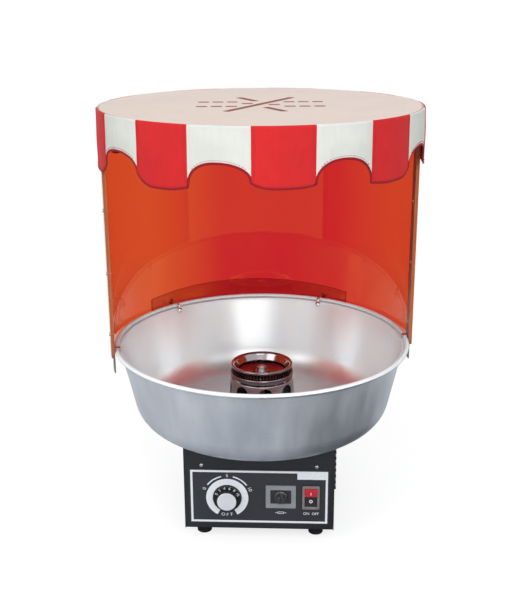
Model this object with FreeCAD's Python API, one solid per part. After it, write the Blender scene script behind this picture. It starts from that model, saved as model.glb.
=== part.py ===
import FreeCAD, Part
import math
import os

# Electric cotton candy machine: a sheet-metal cabinet with a spinning sugar head on
# its motor, an aluminium floss bowl, a tinted round shield and a cloth canopy.
# Millimetres, +Z up, origin on the ground below the motor axis, front faces -Y.
# Plan angles are measured from the front (-Y), counter-clockwise seen from above.

V = FreeCAD.Vector
UP = V(0, 0, 1)

# ---- clearances ---------------------------------------------------------------
seat_gap = 0.3            # between curved or soft neighbours at rest
sheet_gap = 0.3           # between folded sheet-metal parts
running_gap = 0.05        # radial, shaft in bore
hole_gap = 0.4            # radial, screw or body in its hole
rubbing_gap = 0.15        # carbon brush to slip ring and holder
over = 1.0                # how far a cutter runs past the face that it cuts

# ---- cabinet ------------------------------------------------------------------
cabinet_width = 210.0
cabinet_depth = 210.0
cabinet_height = 126.0
sheet = 1.2
bend_radius = 2.4
chassis_lip = 10.0
cover_flange_drop = 36.0
cover_screw_inset = 25.0
cover_screw_drop = 27.0
foot_height = 17.0
foot_diameter = 22.5
foot_taper = 0.8
foot_round = 1.2
foot_inset = 25.0
foot_core_depth = 9.0
foot_core_diameter = 11.0
louvre_count = 8
louvre_pitch = 9.5
louvre_length = 112.0
louvre_depth = 4.0
louvre_height = 6.0
louvre_top_gap = 15.5     # highest louvre below the cabinet's top
air_hole_radius = 39.0

# ---- fasteners ----------------------------------------------------------------
screw_radius = 1.7
screw_head_radius = 2.8
screw_head_height = 1.8
low_head_radius = 2.2
screw_length = 9.0
screw_engagement = 2.0    # how far a thread runs past its nut or plate
foot_screw_head_radius = 3.8
nut_height = 2.4
nut_across = 6.0

# ---- front controls -----------------------------------------------------------
plate_side_gap = 7.0
plate_top_gap = 31.9
plate_rise = 8.7          # plate's lower edge above the cabinet's bottom
plate_thickness = 0.8
plate_corner = 1.5
tag_width = 6.0
tag_length = 8.0
tag_thickness = 0.8
tag_pitch = 10.0
dial_x = -44.6
dial_rise = 49.1
dial_skirt_radius = 19.5
dial_skirt_height = 3.2
dial_grip_radius = 14.4
dial_grip_draft = 0.6
dial_grip_height = 7.3
dial_edge_round = 0.8
dial_cap_inset = 1.0
dial_cap_height = 1.2
dial_cap_round = 0.7
dial_plate_gap = 0.8
dial_roof = 0.8
dial_spindle_radius = 3.0
spindle_flat_depth = 0.8
spindle_flat_length = 8.0
flute_count = 18
flute_radius = 1.1
flute_depth = 0.8
bush_wall = 1.65
bush_stand_out = 1.0
control_nut_across = 13.0
control_nut_height = 2.4
control_nut_room = 1.5    # between the nut's corners and the knob
control_width = 38.0
control_depth = 24.0
fuse_x = 30.4
fuse_rise = 52.3
fuse_plate_thickness = 1.2
fuse_window_width = 29.2
fuse_window_gap = 0.6     # between the holder's flange and the window
fuse_frame_side = 6.4
fuse_frame_end = 6.8
fuse_frame_corner = 1.5
fuse_flange_radius = 10.1
fuse_flange_height = 4.4
fuse_flange_round = 2.6
fuse_wall = 1.15
fuse_body_depth = 34.0
fuse_end_wall = 3.0
fuse_nut_margin = 2.5
fuse_nut_height = 3.0
fuse_cap_radius = 5.2
fuse_cap_height = 7.4
fuse_cap_bevel = 0.5
fuse_slot_width = 1.4
fuse_slot_depth = 1.6
fuse_plug_depth = 6.0
fuse_socket_depth = 5.0
fuse_link_radius = 2.6
fuse_link_length = 20.0
switch_x = 72.5
switch_rise = 52.3
switch_side_wall = 1.3
switch_end_wall = 1.8
switch_bezel_side = 1.8
switch_bezel_end = 2.6
switch_bezel_thickness = 2.2
switch_bezel_corner = 2.0
switch_body_depth = 20.0
rocker_width = 17.2
rocker_radius = 13.6      # tips of the rocker from its pivot
rocker_back = 5.0
rocker_dip = 5.2          # depth of the rocker's hollow face below its front
rocker_pivot_depth = 2.2  # pivot behind the plate's face
rocker_pin_radius = 1.5
rocker_pin_stub = 1.0
rocker_tilt = 11.0

# ---- mains inlet on the back --------------------------------------------------
inlet_inset = 45.0
inlet_rise = 30.0
inlet_body_width = 27.0
inlet_body_height = 19.6
inlet_body_depth = 20.0
inlet_screw_offset = 6.5
inlet_flange_end = 5.0
inlet_flange_margin = 1.7
inlet_flange_corner = 4.0
inlet_flange_thickness = 2.4
inlet_wall = 1.8
inlet_pin_pitch = 7.0
inlet_pin_width = 2.0
inlet_pin_height = 4.0
inlet_pin_length = 13.0
inlet_pin_drop = 1.5
inlet_earth_rise = 2.5

# ---- motor --------------------------------------------------------------------
isolator_length = 26.0
isolator_radius = 6.0
isolator_spread = 92.0
motor_plate_margin = 10.0
motor_plate_corner = 8.0
motor_plate_thickness = 2.0
motor_radius = 45.0
motor_can_height = 48.0
motor_can_wall = 1.6
motor_bell_height = 10.0
motor_bell_wall = 2.0
motor_bell_gap = 1.5      # radial, shaft through the end bells
motor_vent_radius = 4.2
motor_vent_count = 8
motor_ear_inset = 6.0
motor_ear_radius = 5.0
motor_ear_height = 5.0
stator_height = 36.0
stator_bore_radius = 26.5
slot_count = 8
slot_depth = 6.5
slot_radius = 4.6
slot_mouth = 2.4
coil_radius = 4.2
coil_overhang = 4.0
rotor_gap = 0.5
bearing_radius = 11.0
bearing_height = 7.0
bearing_race = 2.0
bearing_groove = 0.6
shaft_radius = 4.0
shaft_tail = 6.0
shaft_bevel = 0.6
fan_radius = 37.0
fan_height = 15.0
fan_hub_radius = 12.0
fan_blade_count = 9
fan_blade_thickness = 1.4
fan_pitch = 42.0
fan_lift = 4.0            # fan above the motor plate

# ---- slip rings and brushes ---------------------------------------------------
bridge_width = 16.0
bridge_thickness = 2.0
bridge_landing = 8.0      # length of the bridge on the cabinet at each end
bridge_eye_gap = 1.6
arm_width = 8.0
slip_hub_radius = 9.0
slip_ring_radius = 13.0
slip_ring_height = 5.0
slip_ring_space = 4.0
slip_hub_lift = 8.0
brush_width = 5.0
brush_height = 4.0
brush_length = 9.0
brush_holder_gap = 2.0
brush_holder_wall = 1.6
brush_holder_length = 13.0
lead_radius = 1.2

# ---- air collar below the head ------------------------------------------------
collar_height = 65.0
collar_room = 3.0         # between the brush bridge and the collar's foot
collar_wall = 1.2
collar_flange = 6.5
collar_foot_round = 1.5
collar_curl = 1.2
collar_lip = 2.6
collar_window_count = 8
collar_window_height = 22.0
collar_window_width = 20.0
collar_window_drop = 3.0  # window's top below the collar's rim
collar_turn = 9.0

# ---- spinning head ------------------------------------------------------------
head_gap = 2.6
head_radius = 45.5
head_ring_height = 6.8
head_edge_round = 1.2
head_floor = 1.5
head_hub_radius = 10.0
head_hub_cone = 3.0
head_hub_drop = 6.0
head_hub_rise = 3.0
head_dish_depth = 4.0
head_dish_bulge = 0.3     # share of the dish's depth at half its width
band_setback = 1.5
band_height = 8.6
band_thickness = 1.0
band_slot_count = 60
band_slot_width = 1.9
band_slot_margin = 1.3
cap_overhang = 0.6
cap_ring_height = 3.2
cap_ring_round = 1.4
cap_mouth_width = 5.2     # from the band's outside to the throat
cap_skirt_taper = 4.4
cap_skirt_wall = 1.0
cap_skirt_gap = 2.0       # sugar gap under the skirt
heater_inset = 5.1        # ribbon's middle inside the band's outside
heater_wave = 0.6
heater_wave_count = 40
heater_thickness = 0.5
heater_height = 4.0
heater_lift = 1.2
heater_margin = 1.5       # between the ribbon and the dish
pad_overlap = 0.5
pad_count = 6
pad_angle = 8.0
stud_radius = 1.1
stud_head_radius = 2.3
stud_head_height = 1.4
stud_thread = 1.4
stud_inset = 2.5
stud_count = 3
stud_turn = 30.0
hub_nut_across = 13.0
hub_nut_height = 5.0
hub_washer_radius = 8.0
hub_washer_height = 1.2
shaft_end = 1.6

# ---- floss bowl ---------------------------------------------------------------
bowl_seat_height = 5.0
bowl_seat_radius = 98.0
bowl_seat_width = 8.0
bowl_seat_round = 1.5
bowl_height = 120.0
rim_radius = 210.0
bead_radius = 3.2
bead_ledge = 2.1          # flat step between the wall and the bead
bowl_wall_lean = 12.6     # degrees from upright
bowl_corner_radius = 42.0
bowl_wall = 1.2
bowl_hole_gap = 0.5       # between the collar's flange and the bowl's hole
bowl_lip_height = 5.0

# ---- shield -------------------------------------------------------------------
bowl_turn = 9.5           # how far shield and canopy are turned to the cabinet
shield_stand_off = 2.5    # shield's inner face outside the bowl's rim
shield_thickness = 3.0
shield_height = 337.0
shield_below_rim = 10.0
shield_end_angle = 81.5   # front edges, from the shield's own front
post_width = 22.0
post_thickness = 1.8
post_below_rim = 32.0
post_tab_length = 12.0
post_tab_share = 0.7      # tab's width as a share of the post's
rivet_radius = 2.4
rivet_shank_radius = 1.2
rivet_head_height = 1.0
rivet_first_rise = 22.0
rivet_pitch = 87.5
rivet_count = 3
backing_gap = 0.1
backing_angle = 45.8      # half width of the backing strip about the back
backing_thickness = 2.5
backing_above_rim = 23.5
backing_arch = 9.0
hook_angle = 34.7         # ball hooks either side of the back
hook_radius = 1.7
hook_bend = 5.0
hook_tail = 1.5
hook_nut_across = 7.5
hook_ball_radius = 4.4
hook_ball_drop = 7.5
hook_wall_gap = 0.5
saddle_width = 8.0
saddle_thickness = 1.2

# ---- canopy -------------------------------------------------------------------
board_inset = 1.5         # board's edge inside the shield's outer face
board_thickness = 3.5
board_bevel = 0.5
vent_turn = 2.5
vent_width = 3.0
vent_cross_length = 181.0
vent_cross_angle = 61.0
vent_short_length = 49.0
vent_short_x = 18.6
vent_short_y = 57.8
dash_length = 13.0
dash_pitch = 19.5
dash_row_x = 38.5
dash_row_y = 25.5
dash_row_count = 3
dash_inner_x = 18.0
dash_inner_y = 6.5
valance_gap = 0.4
valance_thickness = 2.0
valance_height = 75.5
panel_count = 18
arch_rise = 29.0
arch_tip = 3.0            # seam tips above the long panels' hems
hem_height = 3.0

# ---- levels, radii and centres worked out from the above -------------------------
floor_z = foot_height
top_z = floor_z + cabinet_height
front_y = -cabinet_depth / 2
back_y = cabinet_depth / 2
panel_y = front_y - plate_thickness
inner_front_y = front_y + sheet
plate_width = cabinet_width - 2 * plate_side_gap
plate_height = cabinet_height - plate_rise - plate_top_gap
dial_z = floor_z + dial_rise
dial_cap_radius = dial_grip_radius - dial_cap_inset
bush_radius = dial_spindle_radius + running_gap + bush_wall
fuse_z = floor_z + fuse_rise
fuse_body_radius = fuse_cap_radius + running_gap + fuse_wall
fuse_window_height = 2 * (fuse_flange_radius + fuse_window_gap)
fuse_front_y = panel_y - fuse_flange_height - fuse_cap_height
fuse_plug_y = panel_y + fuse_plug_depth
fuse_back_y = inner_front_y + fuse_body_depth
switch_z = floor_z + switch_rise
switch_room_width = rocker_width + 2 * seat_gap
switch_room_height = 2 * (rocker_radius + seat_gap)
switch_body_width = switch_room_width + 2 * switch_side_wall
switch_body_height = switch_room_height + 2 * switch_end_wall
rocker_pivot_y = panel_y + rocker_pivot_depth
inlet_x = cabinet_width / 2 - inlet_inset
inlet_z = floor_z + inlet_rise
inlet_screw_spread = inlet_body_width + 2 * inlet_screw_offset
motor_plate_z = top_z - sheet - isolator_length
motor_top_z = motor_plate_z - motor_plate_thickness
motor_can_z = motor_top_z - motor_bell_height - motor_can_height
motor_bottom_z = motor_can_z - motor_bell_height
motor_ear_x = motor_radius - motor_ear_inset
stator_z = motor_can_z + (motor_can_height - stator_height) / 2
bridge_z = top_z + bridge_thickness
bridge_half = air_hole_radius + bridge_landing
bridge_screw_x = air_hole_radius + bridge_landing / 2
slip_hub_z = bridge_z + slip_hub_lift
slip_hub_height = 3 * slip_ring_space + 2 * slip_ring_height
lead_offset = (shaft_radius + slip_hub_radius) / 2
collar_foot_radius = bridge_half + collar_room
collar_flange_radius = collar_foot_radius + collar_flange
collar_top_z = top_z + collar_height
head_z = collar_top_z + head_gap
band_radius = head_radius - band_setback
band_z = head_z + head_ring_height
cap_z = band_z + band_height
head_top_z = cap_z + cap_ring_height
dish_z = band_z - head_dish_depth
dish_radius = band_radius - heater_inset - heater_wave - heater_margin
throat_radius = band_radius - cap_mouth_width
heater_radius = band_radius - heater_inset
hub_top_z = dish_z + head_hub_rise
shaft_top_z = hub_top_z + hub_washer_height + hub_nut_height + shaft_end
bowl_z = top_z + bowl_seat_height
rim_z = bowl_z + bowl_height
ledge_z = rim_z - 2 * bead_radius
bowl_wall_radius = rim_radius - 2 * bead_radius - bead_ledge
bowl_hole_radius = collar_flange_radius + bowl_hole_gap
shield_inner_radius = rim_radius + shield_stand_off
shield_radius = shield_inner_radius + shield_thickness
shield_z = rim_z - shield_below_rim
shield_top_z = shield_z + shield_height
post_inner_radius = shield_inner_radius - post_thickness
post_half_angle = math.degrees(post_width / shield_inner_radius) / 2
post_angle = shield_end_angle + post_half_angle
backing_inner_radius = shield_radius + backing_gap
backing_radius = backing_inner_radius + backing_thickness
hook_z = rim_z + seat_gap + hook_radius
ball_z = rim_z - hook_ball_drop
board_radius = shield_radius - board_inset
board_top_z = shield_top_z + board_thickness
valance_inner_radius = shield_radius + valance_gap
valance_radius = valance_inner_radius + valance_thickness
valance_z = board_top_z - valance_height


# ---- small helpers --------------------------------------------------------------
def polar(radius, angle, z=0.0):
    """Point on a plan circle; angle 0 is the front."""
    turn = math.radians(angle)
    return V(radius * math.sin(turn), -radius * math.cos(turn), z)


def turned(shape, angle):
    """Copy of a shape turned about the machine's axis."""
    copy = shape.copy()
    copy.rotate(V(0, 0, 0), UP, angle)
    return copy


def around(shape):
    """Turn a shield or canopy part with the bowl."""
    return turned(shape, bowl_turn)


def block(x0, x1, y0, y1, z0, z1):
    return Part.makeBox(x1 - x0, y1 - y0, z1 - z0, V(x0, y0, z0))


def rod(radius, z0, z1, x=0.0, y=0.0):
    return Part.makeCylinder(radius, z1 - z0, V(x, y, z0))


def rod_y(radius, y0, y1, x, z):
    """Cylinder along Y, from y0 back to y1."""
    return Part.makeCylinder(radius, y1 - y0, V(x, y0, z), V(0, 1, 0))


def rod_x(radius, x0, x1, y, z):
    return Part.makeCylinder(radius, x1 - x0, V(x0, y, z), V(1, 0, 0))


def tube(outer, inner, z0, z1, x=0.0, y=0.0):
    return rod(outer, z0, z1, x, y).cut(rod(inner, z0 - over, z1 + over, x, y))


def outline(start, *steps):
    """Closed face in the XZ plane. A step is a point, or (middle, end) for an arc."""
    edges = []
    first = V(start[0], 0, start[1])
    here = first
    for step in steps:
        if isinstance(step[0], tuple):
            middle = V(step[0][0], 0, step[0][1])
            there = V(step[1][0], 0, step[1][1])
            edges.append(Part.Arc(here, middle, there).toShape())
        else:
            there = V(step[0], 0, step[1])
            edges.append(Part.makeLine(here, there))
        here = there
    edges.append(Part.makeLine(here, first))
    return Part.Face(Part.Wire(edges))


def arc(start, end, centre):
    """The two steps that go to an arc's start and round to its end, about its centre."""
    out_x = start[0] + end[0] - 2 * centre[0]
    out_z = start[1] + end[1] - 2 * centre[1]
    radius = math.hypot(start[0] - centre[0], start[1] - centre[1])
    scale = radius / math.hypot(out_x, out_z)
    middle = (centre[0] + out_x * scale, centre[1] + out_z * scale)
    return start, (middle, end)


def revolved(start, *steps):
    """Solid of revolution about the machine's axis."""
    return outline(start, *steps).revolve(V(0, 0, 0), UP, 360)


def revolved_y(x, z, start, *steps):
    """Solid of revolution about a line along -Y; steps are (radius, height) pairs."""
    solid = revolved(start, *steps)
    solid.rotate(V(0, 0, 0), V(1, 0, 0), 90)
    solid.translate(V(x, 0, z))
    return solid


def sector(outer, inner, z0, z1, start, end):
    """Piece of a tube between two plan angles."""
    face = outline((inner, z0), (outer, z0), (outer, z1), (inner, z1))
    face.rotate(V(0, 0, 0), UP, -90)
    return turned(face.revolve(V(0, 0, 0), UP, end - start), start)


def hexagon(across, x, y, z, height, direction=UP):
    """Six-sided prism of a given size across its flats."""
    points = [V(math.cos(turn), math.sin(turn), 0) * (across / math.sqrt(3))
              for turn in (math.radians(60 * corner) for corner in range(7))]
    prism = Part.Face(Part.makePolygon(points)).extrude(V(0, 0, height))
    prism.Placement = FreeCAD.Placement(V(x, y, z), FreeCAD.Rotation(UP, direction))
    return prism


def edges_along(shape, axis):
    """Straight edges that run along an axis."""
    return [edge for edge in shape.Edges
            if abs(edge.tangentAt(edge.FirstParameter).dot(axis)) > 0.9]


def rounded_plate(x, z, width, height, corner, y0, y1):
    """Upright plate with rounded corners, centred on (x, z)."""
    plate = block(x - width / 2, x + width / 2, y0, y1, z - height / 2, z + height / 2)
    return plate.makeFillet(corner, edges_along(plate, V(0, 1, 0)))


def four(x, y):
    """The four corners of a rectangle centred on the axis."""
    return [(sx * x, sy * y) for sx in (-1, 1) for sy in (-1, 1)]


def group(solids):
    return Part.makeCompound(solids)


def joined(solids):
    """One solid fused from overlapping or touching solids."""
    return solids[0].multiFuse(solids[1:]).removeSplitter()


def minus(solid, cutters):
    return solid.cut(Part.makeCompound(cutters))


def solder_tags(x, y, z, count):
    """Flat terminals in a row, standing out to the back."""
    tags = []
    for index in range(count):
        lift = (index - (count - 1) / 2) * tag_pitch
        tags.append(block(x - tag_width / 2, x + tag_width / 2, y - over, y + tag_length,
                          z + lift - tag_thickness / 2, z + lift + tag_thickness / 2))
    return tags


# ---- cabinet ------------------------------------------------------------------
def foot_places():
    return four(cabinet_width / 2 - foot_inset, cabinet_depth / 2 - foot_inset)


def cover_screw_places():
    x = cabinet_width / 2 - cover_screw_inset
    return [(-x, top_z - cover_screw_drop), (x, top_z - cover_screw_drop)]


def folded_channel(width, length, height):
    """U-shaped channel open upwards: its web on z=0, its length along Y."""
    outside = block(-width / 2, width / 2, 0, length, 0, height)
    inside = block(-width / 2 + sheet, width / 2 - sheet, -over, length + over, sheet,
                   height + over)

    def bends(shape):
        return [edge for edge in edges_along(shape, V(0, 1, 0))
                if edge.CenterOfMass.z < height / 2]

    outside = outside.makeFillet(bend_radius, bends(outside))
    return outside.cut(inside.makeFillet(bend_radius - sheet, bends(inside)))


def control_openings(y0, y1):
    """Cutters for the spindle bush, fuse holder and switch."""
    half_width = switch_body_width / 2 + hole_gap
    half_height = switch_body_height / 2 + hole_gap
    return [
        rod_y(bush_radius + hole_gap, y0, y1, dial_x, dial_z),
        rod_y(fuse_body_radius + hole_gap, y0, y1, fuse_x, fuse_z),
        block(switch_x - half_width, switch_x + half_width, y0, y1,
              switch_z - half_height, switch_z + half_height),
    ]


def inlet_block(y0, y1, gap):
    """The inlet's body between two depths, grown by a gap."""
    half_width = inlet_body_width / 2 + gap
    half_height = inlet_body_height / 2 + gap
    return block(inlet_x - half_width, inlet_x + half_width, y0, y1,
                 inlet_z - half_height, inlet_z + half_height)


def inlet_screw_places():
    return [(inlet_x + side * inlet_screw_spread / 2, inlet_z) for side in (-1, 1)]


def make_chassis():
    """Bottom, front and back folded from one sheet, with low side lips."""
    width = cabinet_width - 2 * (sheet + sheet_gap)
    height = cabinet_height - sheet - sheet_gap
    channel = turned(folded_channel(cabinet_depth, width, height), 90)
    channel.translate(V(width / 2, 0, floor_z))
    corners = [edge for edge in edges_along(channel, V(0, 1, 0))
               if edge.CenterOfMass.z > floor_z + height / 2]
    channel = channel.makeChamfer(bend_radius - sheet, corners)
    lip_half = cabinet_depth / 2 - bend_radius - sheet
    lip = block(width / 2 - sheet, width / 2, -lip_half, lip_half, floor_z,
                floor_z + chassis_lip)
    front = (front_y - over, inner_front_y + over)
    back = (back_y - sheet - over, back_y + over)
    cutters = control_openings(*front)
    cutters.append(inlet_block(*back, hole_gap))
    for x, z in cover_screw_places():
        cutters.append(rod_y(screw_radius + hole_gap, *front, x, z))
        cutters.append(rod_y(screw_radius + hole_gap, *back, x, z))
    for x, z in inlet_screw_places():
        cutters.append(rod_y(screw_radius + hole_gap, *back, x, z))
    for x, y in foot_places():
        cutters.append(rod(screw_radius + hole_gap, floor_z - over, floor_z + sheet + over, x, y))
    return minus(joined([channel, lip, turned(lip, 180)]), cutters)


def louvre_levels():
    lowest = top_z - louvre_top_gap - louvre_height - (louvre_count - 1) * louvre_pitch
    return [lowest + index * louvre_pitch for index in range(louvre_count)]


def louvre_wedge(z, inwards, wall):
    """Quarter-round form along Y on the right side wall, a wall thinner than the hood."""
    wall_x = cabinet_width / 2
    depth = louvre_depth - wall
    top = louvre_height - wall
    bulge = math.sqrt(0.5)
    face = outline((wall_x - inwards, z), (wall_x + depth, z),
                   ((wall_x + depth * bulge, z + top * bulge), (wall_x, z + top)),
                   (wall_x - inwards, z + top))
    wedge = face.extrude(V(0, louvre_length - 2 * wall, 0))
    wedge.translate(V(0, wall - louvre_length / 2, 0))
    return wedge


def make_cover():
    """Top and louvred sides folded from one sheet, with flanges behind front and back."""
    channel = folded_channel(cabinet_width, cabinet_depth, cabinet_height)
    channel.rotate(V(0, 0, 0), V(0, 1, 0), 180)
    channel.translate(V(0, front_y, top_z))
    flange_half = cabinet_width / 2 - sheet - bend_radius
    flange_y = inner_front_y + sheet_gap
    flange = block(-flange_half, flange_half, flange_y, flange_y + sheet,
                   top_z - cover_flange_drop, top_z - sheet / 2)
    solids = [channel, flange, turned(flange, 180)]
    cutters = [rod(air_hole_radius, top_z - sheet - over, top_z + over)]
    for z in louvre_levels():
        hood = louvre_wedge(z, sheet / 2, 0.0)
        hollow = louvre_wedge(z, sheet + over, sheet)
        solids += [hood, turned(hood, 180)]
        cutters += [hollow, turned(hollow, 180)]
    for x, z in cover_screw_places():
        cutters.append(rod_y(screw_radius + running_gap, front_y - over, back_y + over, x, z))
    for x, y in isolator_places():
        cutters.append(rod(screw_radius + hole_gap, top_z - sheet - over, top_z + over, x, y))
    for x, y in collar_screw_places() + bridge_screw_places():
        cutters.append(rod(screw_radius + running_gap, top_z - sheet - over, top_z + over, x, y))
    return minus(joined(solids), cutters)


def make_feet():
    """Tapered rubber feet with a recess for the screw head."""
    feet = []
    radius = foot_diameter / 2
    for x, y in foot_places():
        foot = Part.makeCone(radius - foot_taper, radius, foot_height, V(x, y, 0))
        lower = [edge for edge in foot.Edges if edge.Closed and edge.CenterOfMass.z < foot_taper]
        foot = foot.makeFillet(foot_round, lower)
        recess = rod(foot_core_diameter / 2, -over, foot_height - foot_core_depth, x, y)
        bore = rod(screw_radius + hole_gap, -over, foot_height + over, x, y)
        feet.append(minus(foot, [recess, bore]))
    return group(feet)


def make_foot_screws():
    screws = []
    seat = foot_height - foot_core_depth
    nut_z = floor_z + sheet
    for x, y in foot_places():
        head = rod(foot_screw_head_radius, seat - screw_head_height, seat, x, y)
        shank = rod(screw_radius, seat, nut_z + nut_height + screw_engagement, x, y)
        screws.append(joined([head, shank, hexagon(nut_across, x, y, nut_z, nut_height)]))
    return group(screws)


def pan_screw(length):
    """Pan-head screw at the origin, its head towards -Y."""
    head = revolved_y(0, 0, (0, 0), (screw_head_radius, 0),
                      ((screw_head_radius * 0.8, screw_head_height * 0.8),
                       (screw_head_radius * 0.2, screw_head_height)), (0, screw_head_height))
    return head.fuse(rod_y(screw_radius, 0, length, 0, 0)).removeSplitter()


def make_cover_screws():
    screws = []
    for x, z in cover_screw_places():
        front = pan_screw(screw_length)
        front.translate(V(x, front_y, z))
        screws += [front, turned(front, 180)]
    return group(screws)


# ---- mains inlet ----------------------------------------------------------------
def make_inlet():
    """Panel socket for a removable lead: flange, shrouded well and three pins."""
    face_y = back_y + inlet_flange_thickness
    root_y = back_y - inlet_body_depth
    flange = rounded_plate(inlet_x, inlet_z, inlet_screw_spread + 2 * inlet_flange_end,
                           inlet_body_height + 2 * inlet_flange_margin, inlet_flange_corner,
                           back_y, face_y)
    body = inlet_block(root_y, face_y, 0)
    well = inlet_block(root_y + inlet_wall, face_y + over, -inlet_wall)
    holes = [rod_y(screw_radius + hole_gap, back_y - over, face_y + over, x, z)
             for x, z in inlet_screw_places()]
    solids = [minus(joined([flange, body]), [well] + holes)]
    for side, lift in ((-1, -inlet_pin_drop), (0, inlet_earth_rise), (1, -inlet_pin_drop)):
        x = inlet_x + side * inlet_pin_pitch - inlet_pin_width / 2
        z = inlet_z + lift - inlet_pin_height / 2
        solids.append(block(x, x + inlet_pin_width, root_y + inlet_wall / 2,
                            root_y + inlet_wall + inlet_pin_length, z, z + inlet_pin_height))
    return joined(solids)


def make_inlet_screws():
    screws = []
    for x, z in inlet_screw_places():
        screw = turned(pan_screw(screw_length), 180)
        screw.translate(V(x, back_y + inlet_flange_thickness, z))
        nut = hexagon(nut_across, x, back_y - sheet, z, nut_height, V(0, -1, 0))
        screws.append(joined([screw, nut]))
    return group(screws)


# ---- front controls -------------------------------------------------------------
def make_control_plate():
    z = floor_z + plate_rise + plate_height / 2
    plate = rounded_plate(0, z, plate_width, plate_height, plate_corner, panel_y, front_y)
    return minus(plate, control_openings(panel_y - over, front_y + over))


def make_heat_control():
    """Rotary regulator behind the panel, held by its bush and nut."""
    half = control_width / 2
    back = inner_front_y + control_depth
    body = block(dial_x - half, dial_x + half, inner_front_y, back, dial_z - half, dial_z + half)
    bush_y = panel_y - control_nut_height - bush_stand_out
    bush = rod_y(bush_radius, bush_y, inner_front_y + over, dial_x, dial_z)
    nut = hexagon(control_nut_across, dial_x, panel_y, dial_z, control_nut_height, V(0, -1, 0))
    bore = rod_y(dial_spindle_radius + running_gap, bush_y - over,
                 inner_front_y + control_depth / 2, dial_x, dial_z)
    return joined([body, bush, nut] + solder_tags(dial_x, back, dial_z, 3)).cut(bore)


def knob_levels():
    """Distances in front of the axis plane: knob's base, skirt's top and grip's face."""
    base = dial_plate_gap - panel_y
    skirt = base + dial_skirt_height
    return base, skirt, skirt + dial_grip_height


def make_dial_spindle():
    base, skirt, face = knob_levels()
    front = dial_roof + seat_gap - face
    spindle = rod_y(dial_spindle_radius, front, inner_front_y + control_depth / 2 - seat_gap,
                    dial_x, dial_z)
    flat_z = dial_z + dial_spindle_radius - spindle_flat_depth
    flat = block(dial_x - dial_spindle_radius, dial_x + dial_spindle_radius, front - over,
                 front + spindle_flat_length, flat_z, dial_z + dial_spindle_radius + over)
    return spindle.cut(flat)


def make_heat_knob():
    """Skirted knob with a fluted grip, hollow over the bush nut."""
    base, skirt, face = knob_levels()
    edge = dial_edge_round
    knob = revolved_y(dial_x, dial_z, (0, base), (dial_skirt_radius, base),
                      *arc((dial_skirt_radius, skirt - edge), (dial_skirt_radius - edge, skirt),
                           (dial_skirt_radius - edge, skirt - edge)),
                      (dial_grip_radius + dial_grip_draft, skirt),
                      *arc((dial_grip_radius, face - edge), (dial_grip_radius - edge, face),
                           (dial_grip_radius - edge, face - edge)),
                      (0, face))
    room_radius = control_nut_across / math.sqrt(3) + control_nut_room
    room_depth = dial_plate_gap + control_nut_height + bush_stand_out + seat_gap
    room = rod_y(room_radius, panel_y - room_depth, panel_y, dial_x, dial_z)
    socket = rod_y(dial_spindle_radius, dial_roof - face, panel_y, dial_x, dial_z)
    flutes = []
    reach = dial_grip_radius + dial_grip_draft + flute_radius - flute_depth
    for index in range(flute_count):
        turn = math.radians(360 / flute_count * index)
        flutes.append(rod_y(flute_radius, -face - over, -skirt, dial_x + reach * math.cos(turn),
                            dial_z + reach * math.sin(turn)))
    return minus(knob, [room, socket] + flutes)


def make_knob_cap():
    base, skirt, face = knob_levels()
    top = face + dial_cap_height
    inner = dial_cap_radius - dial_cap_round
    return revolved_y(dial_x, dial_z, (0, face), (dial_cap_radius, face),
                      *arc((dial_cap_radius, top - dial_cap_round), (inner, top),
                           (inner, top - dial_cap_round)),
                      (0, top))


def make_fuse_plate():
    width = fuse_window_width + 2 * fuse_frame_side
    height = fuse_window_height + 2 * fuse_frame_end
    face_y = panel_y - fuse_plate_thickness
    plate = rounded_plate(fuse_x, fuse_z, width, height, fuse_frame_corner, face_y, panel_y)
    window = rounded_plate(fuse_x, fuse_z, fuse_window_width, fuse_window_height,
                           fuse_frame_corner, face_y - over, panel_y + over)
    return plate.cut(window)


def make_fuse_holder():
    """Tubular fuse holder with a domed flange in front and a nut behind the panel."""
    base = -panel_y
    top = base + fuse_flange_height
    inner = fuse_flange_radius - fuse_flange_round
    flange = revolved_y(fuse_x, fuse_z, (0, base), (fuse_flange_radius, base),
                        *arc((fuse_flange_radius, top - fuse_flange_round), (inner, top),
                             (inner, top - fuse_flange_round)),
                        (0, top))
    body = rod_y(fuse_body_radius, panel_y - over, fuse_back_y, fuse_x, fuse_z)
    nut = hexagon(2 * (fuse_body_radius + fuse_nut_margin), fuse_x, inner_front_y, fuse_z,
                  fuse_nut_height, V(0, 1, 0))
    bore = rod_y(fuse_cap_radius + running_gap, -top - over, fuse_back_y - fuse_end_wall,
                 fuse_x, fuse_z)
    return joined([flange, body, nut] + solder_tags(fuse_x, fuse_back_y, fuse_z, 1)).cut(bore)


def make_fuse_cap():
    """Finger cap with a slot and a hollow plug that grips the fuse."""
    cap = rod_y(fuse_cap_radius, fuse_front_y, fuse_plug_y, fuse_x, fuse_z)
    front_edge = [edge for edge in cap.Edges
                  if edge.Closed and edge.CenterOfMass.y < fuse_front_y + fuse_cap_bevel]
    cap = cap.makeChamfer(fuse_cap_bevel, front_edge)
    half = fuse_slot_width / 2
    slot = block(fuse_x - half, fuse_x + half, fuse_front_y - over,
                 fuse_front_y + fuse_slot_depth, fuse_z - fuse_body_radius,
                 fuse_z + fuse_body_radius)
    socket = rod_y(fuse_link_radius, fuse_plug_y - fuse_socket_depth, fuse_plug_y + over,
                   fuse_x, fuse_z)
    return minus(cap, [slot, socket])


def make_fuse_link():
    """Glass cartridge fuse."""
    start = fuse_plug_y - fuse_socket_depth
    return rod_y(fuse_link_radius, start, start + fuse_link_length, fuse_x, fuse_z)


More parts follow.
